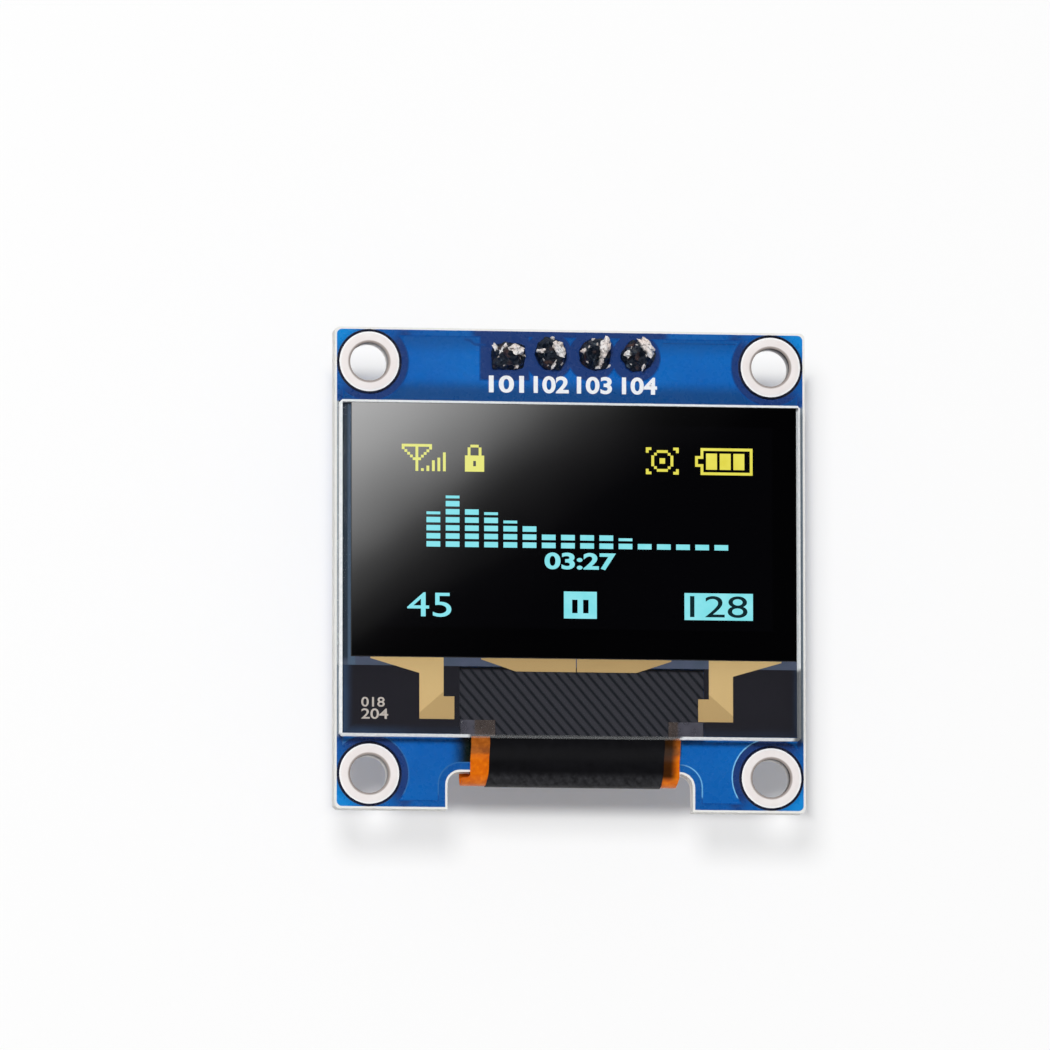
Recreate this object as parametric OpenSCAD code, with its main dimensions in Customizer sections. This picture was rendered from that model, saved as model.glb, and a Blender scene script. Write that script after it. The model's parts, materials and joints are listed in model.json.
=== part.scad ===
// Small graphic display module: a light-emitting glass panel on a blue circuit
// board with four mounting holes. A flexible cable leaves the lower ledge of the
// glass, bends down to the board, folds round its edge in a notch and is soldered
// to the back. A four-pin header stands behind the upper edge.
//
// Millimetres. +X right, +Y towards the header, +Z out of the display.
// The origin is the centre of the four mounting holes, on the back of the board.

/* [Board] */
// Thickness of the bare board
board_t = 1.2; // [0.8:0.1:1.6]
// Radius of the outer corners
board_corner_r = 0.3; // [0.1:0.05:1]
// Bare rim between the edge of the board and the lacquer
mask_rim = 0.13; // [0.05:0.01:0.3]
// Thickness of the lacquer on bare board
mask_t = 0.03; // [0.02:0.005:0.04]
// Distance from the edge of the board to the copper
copper_rim = 0.45; // [0.35:0.05:0.8]
// Thickness of the copper with the lacquer over it
copper_t = 0.05; // [0.045:0.005:0.08]
// Clearance that the copper keeps round rings, pads and the notch
copper_gap = 0.5; // [0.3:0.05:0.6]

/* [Mounting holes] */
// Clear diameter of each hole
hole_d = 2.2; // [2:0.1:2.6]
// Outer diameter of the plated ring
ring_d = 3.5; // [3:0.1:4]
// Distance from the plated ring to both edges of the board beside it
ring_edge = 0.25; // [0.2:0.05:0.8]
// Thickness of the plating
plating_t = 0.05; // [0.04:0.005:0.06]

/* [Header] */
// Distance between neighbouring pins
pin_pitch = 2.54; // [2.5:0.02:2.6]
// Side of a square pin
pin_side = 0.64; // [0.5:0.02:0.64]
// Free length of a pin behind the plastic body
pin_free = 6; // [4:0.5:9]
// Length of a pin from the plastic body through the board
pin_tail = 3; // [2.4:0.1:3.4]
// Distance from the row of pins to the upper edge of the board
header_edge = 1.55; // [1.4:0.05:2]
// Side of the square section of the plastic body
header_side = 2.54; // [2.3:0.02:2.54]
// Corner cut between neighbouring cells of the body
header_notch = 0.45; // [0.2:0.05:0.6]
// Diameter of the drilled holes for the pins
pin_hole_d = 1.1; // [1.05:0.05:1.2]
// Diameter of the round pads
pin_pad_d = 1.8; // [1.6:0.05:1.9]
// Height of a solder cone above its pad
solder_h = 0.9; // [0.5:0.1:1]

/* [Display] */
// Width of both glasses
glass_w = 26.7; // [24:0.1:30]
// Height of the front glass with its ledge
glass_h = 19.26; // [17.5:0.01:22]
// Thickness of the front glass
front_glass_t = 0.7; // [0.5:0.05:1.1]
// Thickness of the rear glass
rear_glass_t = 0.5; // [0.4:0.05:0.7]
// Bare board to the left of the glass
glass_left_gap = 0.13; // [0.05:0.01:0.6]
// Bare board to the right of the glass
glass_right_gap = 0.47; // [0.05:0.01:0.8]
// Distance from the row of pins to the upper edge of the glass
glass_top_gap = 2.82; // [2.4:0.02:4]
// Height of the ledge below the polarizer
ledge_h = 4.41; // [4.3:0.01:5]
// Strip of the rear glass that shows below the polarizer
seal_show = 0.4; // [0.2:0.05:0.5]
// Width of the glue frame between the glasses
seal_w = 1.2; // [0.8:0.1:1.5]
// Thickness of the glue frame
seal_t = 0.04; // [0.03:0.005:0.06]
// Depth of the hollow in the rear glass
hollow_depth = 0.25; // [0.15:0.05:0.3]
// Thickness of the drying sheet in the hollow
getter_t = 0.12; // [0.08:0.02:0.14]
// Thickness of the light-emitting layer
emitter_t = 0.02; // [0.015:0.005:0.025]
// Thickness of the tape between the display and the board
tape_t = 0.22; // [0.15:0.01:0.4]
// Distance from the edge of the rear glass to the tape
tape_inset = 1; // [0.5:0.1:2]

/* [Polarizer] */
// Thickness of the black film
polarizer_t = 0.2; // [0.1:0.02:0.3]
// Glass left free at the left of the film
polarizer_left = 0.62; // [0.2:0.02:1]
// Glass left free at the right of the film
polarizer_right = 0.28; // [0.1:0.02:1]
// Glass left free above the film
polarizer_top = 0.17; // [0.1:0.01:0.6]

/* [Lit fields] */
// Thickness of the lit fields on the face of the film
lit_t = 0.02; // [0.015:0.005:0.03]
// Width of one picture element
dot_w = 0.1588; // [0.14:0.0002:0.17]
// Height of one picture element
dot_h = 0.1555; // [0.14:0.0005:0.16]
// Distance from the left edge of the film to the first column
lit_left = 2.92; // [2:0.02:3.6]
// Distance from the upper edge of the film to the first row
lit_top = 2.4; // [1:0.05:3]

/* [Ledge] */
// Thickness of the gold contacts
electrode_t = 0.02; // [0.015:0.005:0.03]
// Distance from the middle of the cable to the outer tip of a side contact
electrode_tip = 11.9; // [11.4:0.05:12.2]
// Distance from the middle of the cable to the inner side of the upright
electrode_side = 7.68; // [7.5:0.02:8]
// Distance from the middle of the cable to the outer side of the upright
electrode_leg = 9.08; // [8.8:0.02:9.4]
// Length of the contact's foot towards the cable
electrode_foot = 0.62; // [0.1:0.02:0.66]
// Drop from the polarizer to the foot
electrode_foot_drop = 2.15; // [1.8:0.05:2.6]
// Drop from the polarizer to the end of the contact
electrode_drop = 3.46; // [3.1:0.02:3.6]
// Drop from the polarizer to the bottom of the slanted wing
electrode_wing_drop = 0.82; // [0.5:0.02:1.2]
// Length of the contacts that runs on under the polarizer
electrode_under = 0.3; // [0.1:0.05:0.5]
// Half of the upper width of the middle contact
middle_top = 5.5; // [5:0.1:6]
// Half of the lower width of the middle contact
middle_bottom = 3.5; // [3:0.1:4.5]
// Height of the middle contact
middle_h = 0.67; // [0.5:0.01:0.8]
// Width of the split in the middle contact
middle_split = 0.06; // [0.04:0.01:0.12]
// Free edge of the ledge round the black film behind it
ledge_film_margin = 0.12; // [0.1:0.02:0.3]

/* [Cable] */
// Distance from the middle of the glass to the middle of the cable
cable_shift = 0.4; // [0.2:0.02:0.5]
// Width of the neck between the ledge and the fold
neck_w = 12.12; // [11.6:0.02:12.4]
// Reach of the head to the left of the middle of the cable
head_left = 6.7; // [6.4:0.02:6.9]
// Reach of the head to the right of the middle of the cable
head_right = 7.34; // [6.9:0.02:7.5]
// Height of the head behind the ledge
head_h = 3.95; // [3.7:0.01:3.97]
// Thickness of the orange base film
base_film_t = 0.1; // [0.05:0.01:0.12]
// Thickness of the black cover film
cover_film_t = 0.05; // [0.03:0.01:0.06]
// Orange margin left of the cover film
cover_left = 1.08; // [0.4:0.02:1.3]
// Orange margin right of the cover film
cover_right = 0.92; // [0.4:0.02:1.3]
// Sideways drift of the cover film's left edge round the fold
cover_drift = 0.3; // [0.1:0.02:0.35]
// Height of the ribs on the cover film
rib_h = 0.03; // [0.02:0.005:0.04]
// Width of one rib, across it
rib_w = 0.22; // [0.1:0.01:0.3]
// Distance between neighbouring ribs, along the glass
rib_pitch = 0.6; // [0.5:0.02:0.8]
// Slope of the ribs
rib_angle = 49; // [40:1:60]
// Thickness of the glue between the head and the ledge
bond_t = 0.05; // [0.045:0.005:0.07]
// Height of the two glue patches
bond_h = 0.92; // [0.5:0.02:1.2]
// Width of each glue patch
bond_w = 2; // [1:0.1:2.5]
// Distance from the edge of the glass to the fold
fold_run = 2; // [1.8:0.05:3]
// Flat length of cable just before the fold
fold_land = 0.2; // [0.05:0.05:0.5]
// Air between the cable and the lacquered board
fold_gap = 0.01; // [0.01:0.005:0.05]
// Extra width of the cable left of the neck, from the fold on
fold_foot = 0.47; // [0.2:0.01:0.7]
// Width of the chip under the head
chip_w = 7.2; // [5:0.1:9]
// Height of the chip, along the cable
chip_h = 0.9; // [0.7:0.05:1.2]
// Thickness of the chip
chip_t = 0.3; // [0.2:0.02:0.35]

/* [Notch] */
// Depth of the notch from the lower edge of the board
notch_depth = 2.17; // [1.6:0.01:3]
// Free width left of the neck
notch_left_gap = 1.3; // [0.9:0.05:1.5]
// Free width right of the neck
notch_right_gap = 0.8; // [0.5:0.05:1.2]
// Radius of the inner corners
notch_r = 0.75; // [0.3:0.05:1]

/* [Soldered tail] */
// Number of soldered contacts
tail_contacts = 30; // [26:1:30]
// Distance between neighbouring contacts
tail_pitch = 0.62; // [0.55:0.01:0.64]
// Width of one contact
contact_w = 0.34; // [0.25:0.01:0.4]
// Length of the board pads past the end of the cable
contact_l = 1.2; // [0.8:0.1:1.6]
// Height of the solder on a contact
tail_solder_h = 0.18; // [0.1:0.01:0.25]
// Distance from the fold to the end of the cable
tail_l = 7.1; // [6:0.1:7.6]
// Distance from the fold to where the tail starts to widen
tail_neck_l = 0.8; // [0.5:0.1:1.2]
// Distance from the fold to where the tail has its full width
tail_full_l = 2.9; // [2.5:0.1:3.5]
// Film beside the outer contacts
tail_margin = 0.4; // [0.2:0.05:0.6]

/* [Small parts] */
// Length of a capacitor or resistor
chip_part_l = 1.6; // [1.4:0.05:1.7]
// Width of a capacitor or resistor
chip_part_w = 0.8; // [0.7:0.05:0.85]
// Height of a capacitor
capacitor_h = 0.8; // [0.5:0.05:0.9]
// Height of a resistor
resistor_h = 0.45; // [0.3:0.05:0.6]
// Length of the metal ends of a capacitor or resistor
end_l = 0.3; // [0.2:0.02:0.4]
// Solder pad past the end of a small part
pad_past = 0.3; // [0.2:0.02:0.35]
// Distance between neighbouring small parts of a row
part_pitch = 2.3; // [2:0.05:2.5]
// Distance from the solder row to the row of capacitors
capacitor_row = 2.4; // [2.1:0.1:2.8]
// Distance between the rows of small parts
row_pitch = 3.4; // [3.2:0.1:3.6]
// Length of the regulator's body
regulator_l = 2.9; // [2.7:0.1:3]
// Width of the regulator's body
regulator_w = 1.3; // [1.2:0.05:1.4]
// Height of the regulator's body
regulator_h = 1; // [0.8:0.05:1.2]
// Reach of a lead past the regulator's body
lead_reach = 0.55; // [0.4:0.05:0.6]
// Width of a lead
lead_w = 0.4; // [0.3:0.02:0.5]
// Thickness of a lead
lead_t = 0.13; // [0.1:0.01:0.16]
// Distance between the two leads on one side
lead_pitch = 1.9; // [1.8:0.05:2]
// Length of the diode's body
diode_l = 1.8; // [1.6:0.05:1.9]
// Width of the diode's body
diode_w = 1.25; // [1:0.05:1.3]
// Height of the diode's body
diode_h = 0.9; // [0.7:0.05:1]

/* [Hidden] */
// Smooth curves
$fn = 48;
// Points along each bend of the cable
bend_steps = 14;
// Surplus that makes a cut run clear through what it cuts
cut = 1;

pins = 4;

// The board is as large as what it carries.
board_w = glass_left_gap + glass_w + glass_right_gap;
board_h = header_edge + glass_top_gap + glass_h + fold_run + notch_depth;
board_right = board_w / 2;
board_top = board_h / 2;
hole_edge = ring_d / 2 + ring_edge;
hole_x = board_right - hole_edge;
hole_y = board_top - hole_edge;
header_y = board_top - header_edge;

// Levels, from the board up
face_z = board_t + copper_t;
tape_top = face_z + tape_t;
rear_glass_top = tape_top + rear_glass_t;
front_glass_z = rear_glass_top + seal_t;
front_glass_top = front_glass_z + front_glass_t;
polarizer_top_z = front_glass_top + polarizer_t;

// Display outline
glass_left = -board_right + glass_left_gap;
glass_right = glass_left + glass_w;
glass_top = header_y - glass_top_gap;
glass_bottom = glass_top - glass_h;
ledge_top = glass_bottom + ledge_h;
rear_glass_bottom = ledge_top - seal_show;
film_left = glass_left + polarizer_left;
film_right = glass_right - polarizer_right;
film_top = glass_top - polarizer_top;

// Cable
cable_x = (glass_left + glass_right) / 2 + cable_shift;
neck_left = cable_x - neck_w / 2;
neck_right = cable_x + neck_w / 2;
cable_t = base_film_t + cover_film_t;
head_z = front_glass_z - bond_t - cable_t;
head_top = glass_bottom + head_h;
fold_y = glass_bottom - fold_run;
fold_z = board_t / 2;
fold_r = board_t / 2 + copper_t + fold_gap;
tail_end = fold_y + tail_l;
tail_half = (tail_contacts - 1) * tail_pitch / 2 + contact_w / 2 + tail_margin;

// The bend from the ledge down to the board is two equal arcs.
drop = head_z - (fold_z + fold_r);
slope_run = fold_run - fold_land;
slope_angle = 2 * atan(drop / slope_run);
slope_r = slope_run / (2 * sin(slope_angle));

// Notch
notch_left = neck_left - notch_left_gap;
notch_right = neck_right + notch_right_gap;

// Small parts on the back, in rows from the soldered tail up to the header
capacitors = 6;
resistors = 5;
capacitor_y = tail_end + contact_l + capacitor_row;
resistor_y = capacitor_y + row_pitch;
row_x = cable_x - tail_half + part_pitch;
regulator_x = row_x + (capacitors + 0.6) * part_pitch;
diode_x = row_x + (resistors + 0.4) * part_pitch;

// ---- Board ------------------------------------------------------------------

function hole_at(i) = [(i % 2 == 1 ? -1 : 1) * hole_x, (i <= 2 ? 1 : -1) * hole_y];
function pin_x(i) = (i - (pins + 1) / 2) * pin_pitch;

// A rectangle between two corners
module box2d(left, bottom, right, top) {
    translate([left, bottom]) square([right - left, top - bottom]);
}

// A rectangle with round corners, made of two bars and four discs
module round_box2d(left, bottom, right, top, r) {
    box2d(left + r, bottom, right - r, top);
    box2d(left, bottom + r, right, top - r);
    for (x = [left + r, right - r], y = [bottom + r, top - r]) translate([x, y]) circle(r);
}

// The board's outline, drawn in by an inset
module board_outline(inset) {
    round_box2d(-board_right + inset, -board_top + inset, board_right - inset, board_top - inset,
        board_corner_r);
}

// The notch, grown on all sides, open at the lower edge of the board
module notch_outline(grow) {
    round_box2d(notch_left - grow, -board_top - 2 * notch_r - cut, notch_right + grow, fold_y + grow,
        notch_r + grow);
}

module holes2d(r) {
    for (i = [1:4]) translate(hole_at(i)) circle(r);
}

// The first pad is square, the others are round
module pin_pads2d(grow) {
    pad = pin_pad_d + 2 * grow;
    translate([pin_x(1), header_y]) square(pad, center = true);
    for (i = [2:pins]) translate([pin_x(i), header_y]) circle(d = pad);
}

module pin_holes2d(r) {
    for (i = [1:pins]) translate([pin_x(i), header_y]) circle(r);
}

module circuit_board() {
    color("#d9d3bd") linear_extrude(board_t) difference() {
        board_outline(0);
        notch_outline(0);
        holes2d(hole_d / 2 + plating_t);
        pin_holes2d(pin_hole_d / 2);
    }
}

// The field that a layer covers on either face, clear of rings, pin pads and the notch
module face_field(inset, gap) {
    difference() {
        board_outline(inset);
        notch_outline(gap);
        holes2d(ring_d / 2 + gap);
        pin_pads2d(gap);
    }
}

module copper_front_plan() {
    face_field(copper_rim, copper_gap);
}

module copper_back_plan() {
    difference() {
        face_field(copper_rim, copper_gap);
        back_pads2d(copper_gap / 2);
    }
}

module mask_front() {
    color("#1e407d") translate([0, 0, board_t]) linear_extrude(mask_t) difference() {
        face_field(mask_rim, 0);
        notch_outline(mask_rim);
        copper_front_plan();
    }
}

module mask_back() {
    color("#1e407d") translate([0, 0, -mask_t]) linear_extrude(mask_t) difference() {
        face_field(mask_rim, 0);
        notch_outline(mask_rim);
        back_pads2d(0);
        copper_back_plan();
    }
}

module copper_front() {
    color("#1263b4") translate([0, 0, board_t]) linear_extrude(copper_t) copper_front_plan();
}

module copper_back() {
    color("#1263b4") translate([0, 0, -copper_t]) linear_extrude(copper_t) copper_back_plan();
}

// A plated hole: a thin barrel with a flat ring on both faces, turned in one piece
module mounting_ring(i) {
    inner = hole_d / 2;
    barrel = inner + plating_t;
    low = -copper_t;
    high = board_t + copper_t;
    color("#ece5e3") translate(hole_at(i)) rotate_extrude() polygon([
        [inner, low], [ring_d / 2, low], [ring_d / 2, 0], [barrel, 0],
        [barrel, board_t], [ring_d / 2, board_t], [ring_d / 2, high], [inner, high]
    ]);
}

// ---- Header -----------------------------------------------------------------

module header_body() {
    half = header_side / 2;
    color("#17171a") translate([0, header_y, -copper_t - header_side]) linear_extrude(header_side)
        difference() {
            square([pins * pin_pitch, header_side], center = true);
            for (i = [0:pins], side = [-1, 1]) translate([(i - pins / 2) * pin_pitch, side * half]) polygon([
                [-header_notch, 0], [0, -header_notch], [header_notch, 0], [0, header_notch]
            ]);
            for (i = [1:pins]) translate([pin_x(i), 0]) square(pin_side, center = true);
        }
}

module pin_section() {
    square(pin_side, center = true);
}

// The pin's ends are cut to a blunt point.
module header_pin(i) {
    low = -copper_t - header_side - pin_free;
    length = pin_free + header_side + pin_tail;
    tip = pin_side / 4;
    color("#b9b4a6") translate([pin_x(i), header_y, low]) intersection() {
        linear_extrude(length) pin_section();
        rotate([90, 0, 0]) linear_extrude(pin_side, center = true) pin_side_view(length, tip);
        rotate([90, 0, 90]) linear_extrude(pin_side, center = true) pin_side_view(length, tip);
    }
}

module pin_side_view(length, tip) {
    half = pin_side / 2;
    polygon([
        [tip - half, 0], [half - tip, 0], [half, 2 * tip], [half, length - tip],
        [half - tip, length], [tip - half, length], [-half, length - tip], [-half, 2 * tip]
    ]);
}

module pin_pads() {
    color("#d8cfc6") difference() {
        union() {
            translate([0, 0, board_t]) linear_extrude(copper_t) pin_pads2d(0);
            translate([0, 0, -copper_t]) linear_extrude(copper_t) pin_pads2d(0);
            linear_extrude(board_t) pin_holes2d(pin_hole_d / 2);
        }
        translate([0, 0, -cut]) linear_extrude(board_t + 2 * cut) pin_holes2d(pin_hole_d / 2 - plating_t);
    }
}

// Solder fills the plated hole and climbs the pin in a hollow cone.
module solder_joint(i) {
    hole_r = pin_hole_d / 2 - plating_t;
    foot_r = pin_pad_d / 2 * 0.97;
    neck_r = pin_side * 0.78;
    belly_r = (foot_r + neck_r) / 2;
    color("#a9a6a2") translate([pin_x(i), header_y]) difference() {
        rotate_extrude() polygon([
            [0, -copper_t], [hole_r, -copper_t], [hole_r, face_z], [foot_r, face_z],
            [foot_r, face_z + solder_h / 6], [belly_r, face_z + solder_h / 2],
            [neck_r, face_z + solder_h], [0, face_z + solder_h]
        ]);
        translate([0, 0, -cut]) linear_extrude(pin_tail + 2 * cut) pin_section();
    }
}

// ---- Display ----------------------------------------------------------------

module rear_glass_plan(inset) {
    box2d(glass_left + inset, rear_glass_bottom + inset, glass_right - inset, glass_top - inset);
}

module tape_pad() {
    color("#e8e6df") translate([0, 0, face_z]) linear_extrude(tape_t) rear_glass_plan(tape_inset);
}

module rear_glass() {
    color("#8fa3ad") difference() {
        translate([0, 0, tape_top]) linear_extrude(rear_glass_t) rear_glass_plan(0);
        translate([0, 0, rear_glass_top - hollow_depth]) linear_extrude(hollow_depth + cut)
            rear_glass_plan(seal_w);
    }
}

module moisture_getter() {
    color("#dcdcd6") translate([0, 0, rear_glass_top - hollow_depth]) linear_extrude(getter_t)
        rear_glass_plan(2 * seal_w);
}

module edge_seal() {
    color("#4e5c6b") difference() {
        translate([0, 0, rear_glass_top]) linear_extrude(seal_t) difference() {
            rear_glass_plan(0);
            rear_glass_plan(seal_w);
        }
        electrodes();
    }
}

module emitter_layer() {
    color("#23262b") translate([0, 0, front_glass_z - emitter_t]) linear_extrude(emitter_t)
        rear_glass_plan(1.2 * seal_w);
}

module front_glass() {
    color("#5b6a75", 0.4) translate([0, 0, front_glass_z]) linear_extrude(front_glass_t)
        box2d(glass_left, glass_bottom, glass_right, glass_top);
}

module polarizer() {
    color("#08080a") translate([0, 0, front_glass_top]) linear_extrude(polarizer_t)
        box2d(film_left, ledge_top, film_right, film_top);
}

// ---- Lit fields -------------------------------------------------------------

// A rectangle of picture elements: column and row of its upper left, columns and rows
module dots(column, row, columns, rows) {
    translate([film_left + lit_left + column * dot_w, film_top - lit_top - (row + rows) * dot_h])
        square([columns * dot_w, rows * dot_h]);
}

module lit_field() {
    translate([0, 0, polarizer_top_z]) linear_extrude(lit_t) children();
}

// Level of each bar in half steps: an odd level ends in a thin cap
bar_levels = [9, 13, 10, 9, 7, 6, 4, 4, 4, 4, 3, 2, 2, 2, 2, 2];
bar_base_rows = 38;
bar_columns = 5;
bar_every_columns = 7;
step_rows = 3;

module lit_bars() {
    color("#7fe3ee") lit_field() for (i = [0:len(bar_levels) - 1]) {
        steps = floor(bar_levels[i] / 2);
        for (s = [0:steps - 1])
            dots(9 + i * bar_every_columns, bar_base_rows - 2 - s * step_rows, bar_columns, 2);
        if (bar_levels[i] % 2 == 1)
            dots(9 + i * bar_every_columns, bar_base_rows - 1 - steps * step_rows, bar_columns, 1);
    }
}

signal_rows = [2, 3, 4, 6, 7];
battery_cells = 3;

// Reception bars, a battery with its cells and the mast of an aerial
module lit_status() {
    color("#e6dc46") lit_field() {
        dots(5, 0, 1, 10);
        for (i = [0:len(signal_rows) - 1]) dots(8 + 2 * i, 10 - signal_rows[i], 1, signal_rows[i]);
        difference() {
            dots(109, 0, 19, 10);
            dots(110, 1, 17, 8);
        }
        dots(107, 3, 2, 4);
        for (i = [0:battery_cells - 1]) dots(112 + 5 * i, 2, 4, 6);
    }
}

// Two full boxes in the bottom line; the left one shows two upright strokes
module lit_boxes() {
    color("#7fe3ee") lit_field() {
        difference() {
            dots(59, 54, 12, 10);
            dots(62, 57, 2, 5);
            dots(66, 57, 2, 5);
        }
        dots(103, 54, 25, 10);
    }
}

// ---- Ledge ------------------------------------------------------------------

module side_electrode_plan(side) {
    x = function (d) cable_x + side * d;
    y = function (d) ledge_top - d;
    foot = electrode_side - electrode_foot;
    polygon([
        [x(electrode_tip), y(0)], [x(electrode_tip), y(-electrode_under)],
        [x(electrode_side), y(-electrode_under)],
        [x(electrode_side), y(electrode_foot_drop)], [x(foot), y(electrode_foot_drop)],
        [x(foot), y(electrode_drop)], [x(electrode_leg), y(electrode_drop)],
        [x(electrode_leg), y(electrode_wing_drop)]
    ]);
}

module centre_electrode_plan() {
    difference() {
        polygon([
            [cable_x - middle_top, ledge_top], [cable_x - middle_bottom, ledge_top - middle_h],
            [cable_x + middle_bottom, ledge_top - middle_h], [cable_x + middle_top, ledge_top],
            [cable_x + middle_top, ledge_top + electrode_under],
            [cable_x - middle_top, ledge_top + electrode_under]
        ]);
        translate([cable_x - middle_split / 2, ledge_top - middle_h - cut])
            square([middle_split, middle_h + electrode_under + 2 * cut]);
    }
}

module electrode() {
    translate([0, 0, front_glass_z - electrode_t]) linear_extrude(electrode_t) children();
}

module electrode_left() {
    color("#c8a973") electrode() side_electrode_plan(-1);
}

module electrode_right() {
    color("#c8a973") electrode() side_electrode_plan(1);
}

module electrode_centre() {
    color("#c8a973") electrode() centre_electrode_plan();
}

module electrodes() {
    electrode_left();
    electrode_right();
    electrode_centre();
}

// The black film lies behind the ledge, round the contacts and the head of the cable.
module ledge_film() {
    margin = ledge_film_margin;
    color("#242329") difference() {
        translate([0, 0, front_glass_z - bond_t]) linear_extrude(bond_t) difference() {
            box2d(glass_left + margin, glass_bottom + margin, glass_right - margin, rear_glass_bottom);
            box2d(cable_x - head_left - margin / 2, glass_bottom - cut,
                cable_x + head_right + margin / 2, head_top + margin / 2);
        }
        electrodes();
    }
}

// ---- Cable ------------------------------------------------------------------

// The inner surface of the cable in its side view, as points [y, z, heading]. Heading
// is the direction of travel in degrees, and the outer side lies to its right.
function bend(y, z, r, from, to) = [
    for (i = [0:bend_steps])
        let (a = from + (to - from) * i / bend_steps)
        [y + r * sin(a), z - r * cos(a), a]
];

cable_line = concat(
    [[head_top, head_z, 180]],
    bend(glass_bottom, head_z - slope_r, slope_r, 180, 180 + slope_angle),
    [
        for (p = bend(glass_bottom - slope_run, fold_z + fold_r + slope_r, slope_r, slope_angle, 0))
            [p[0], p[1], p[2] + 180]
    ],
    bend(fold_y, fold_z, fold_r, 180, 360),
    [[tail_end, fold_z - fold_r, 360]]
);

// A layer of the cable between two distances from its inner surface
module cable_layer(from, to) {
    offset_point = function (p, d) [p[0] + d * sin(p[2]), p[1] - d * cos(p[2])];
    last = len(cable_line) - 1;
    rotate([90, 0, 90]) linear_extrude(2 * board_right, center = true) polygon(concat(
        [for (p = cable_line) offset_point(p, to)],
        [for (i = [last:-1:0]) offset_point(cable_line[i], from)]
    ));
}

// A solid of a layer: the front plan cuts what lies above the middle of the board,
// the back plan what lies below it.
module cable_solid(from, to) {
    intersection() {
        cable_layer(from, to);
        translate([0, 0, fold_z]) linear_extrude(front_glass_top) children(0);
    }
    intersection() {
        cable_layer(from, to);
        translate([0, 0, -fold_r - cut]) linear_extrude(fold_r + cut + fold_z) children(1);
    }
}

// Below this height the fold is wider by its foot.
foot_y = fold_y - 0.3;
fold_reach = fold_y - 2 * fold_r;

module cable_front_plan() {
    box2d(cable_x - head_left, glass_bottom, cable_x + head_right, head_top);
    box2d(neck_left, fold_reach, neck_right, glass_bottom);
    box2d(neck_left - fold_foot, fold_reach, neck_left, foot_y);
}

module tail_plan(inset) {
    left = neck_left - fold_foot + inset;
    right = neck_right - inset;
    polygon([
        [left, fold_reach], [left, fold_y + tail_neck_l],
        [cable_x - tail_half + inset, fold_y + tail_full_l], [cable_x - tail_half + inset, tail_end],
        [cable_x + tail_half - inset, tail_end], [cable_x + tail_half - inset, fold_y + tail_full_l],
        [right, fold_y + tail_neck_l], [right, fold_reach]
    ]);
}

module flex_cable() {
    color("#c05807") cable_solid(0, base_film_t) {
        cable_front_plan();
        tail_plan(0);
    }
}

cover_left_x = neck_left + cover_left;
cover_right_x = neck_right - cover_right;

module cover_front_plan() {
    box2d(cable_x - head_left, glass_bottom, cable_x + head_right, head_top);
    polygon([
        [cover_left_x, glass_bottom], [cover_left_x, foot_y + cover_drift],
        [cover_left_x - cover_drift, foot_y - cover_drift], [cover_left_x - cover_drift, fold_reach],
        [cover_right_x, fold_reach], [cover_right_x, glass_bottom]
    ]);
}

module cover_back_plan() {
    left = cover_left_x - cover_drift;
    margin = tail_margin;
    polygon([
        [left, fold_reach], [left, fold_y + tail_neck_l],
        [cable_x - tail_half + margin, fold_y + tail_full_l],
        [cable_x - tail_half + margin, tail_end - contact_l],
        [cable_x + tail_half - margin, tail_end - contact_l],
        [cable_x + tail_half - margin, fold_y + tail_full_l],
        [cover_right_x, fold_y + tail_neck_l], [cover_right_x, fold_reach]
    ]);
}

// Slanting ribs, cut to the head and clear of the glue patches and the middle contact
module ribs_plan() {
    slant = head_h / tan(rib_angle);
    span = head_left + head_right;
    half = rib_w / sin(rib_angle) / 2;
    intersection() {
        difference() {
            box2d(cable_x - head_left, glass_bottom, cable_x + head_right, ledge_top - middle_h - rib_h);
            bond_plan();
        }
        for (s = [-slant:rib_pitch:span]) translate([cable_x - head_left + s, head_top]) polygon([
            [-half, 0], [half, 0], [half + slant, -head_h], [slant - half, -head_h]
        ]);
    }
}

module flex_coverlay() {
    color("#2e2e34") {
        cable_solid(base_film_t, cable_t) {
            cover_front_plan();
            cover_back_plan();
        }
        translate([0, 0, head_z + cable_t]) linear_extrude(rib_h) ribs_plan();
    }
}

module bond_plan() {
    box2d(cable_x - head_left, glass_bottom, cable_x - head_left + bond_w, glass_bottom + bond_h);
    box2d(cable_x + head_right - bond_w, glass_bottom, cable_x + head_right, glass_bottom + bond_h);
}

module flex_bond() {
    color("#8d8c93") difference() {
        translate([0, 0, head_z + cable_t]) linear_extrude(bond_t) bond_plan();
        electrodes();
    }
}

module driver_chip() {
    color("#55585e") translate([0, 0, head_z - chip_t]) linear_extrude(chip_t)
        translate([cable_x, glass_bottom + head_h / 2]) square([chip_w, chip_h], center = true);
}

// ---- Soldered tail ----------------------------------------------------------

module contact_row(length) {
    for (i = [0:tail_contacts - 1])
        translate([cable_x + (i - (tail_contacts - 1) / 2) * tail_pitch - contact_w / 2, tail_end])
            square([contact_w, length]);
}

module flex_pads() {
    color("#d8cfc6") translate([0, 0, -copper_t]) linear_extrude(copper_t) contact_row(contact_l);
}

// Each contact ends in a ridge of solder against the end of the cable.
module flex_solder() {
    half = contact_w / 2;
    color("#a9a6a2") for (i = [0:tail_contacts - 1])
        translate([cable_x + (i - (tail_contacts - 1) / 2) * tail_pitch, tail_end, -copper_t])
            rotate([-90, 0, 0]) linear_extrude(contact_l * 0.85) polygon([
                [-half, 0], [half, 0], [half, tail_solder_h / 2],
                [half / 2, tail_solder_h], [-half / 2, tail_solder_h], [-half, tail_solder_h / 2]
            ]);
}

// ---- Small parts ------------------------------------------------------------

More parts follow.
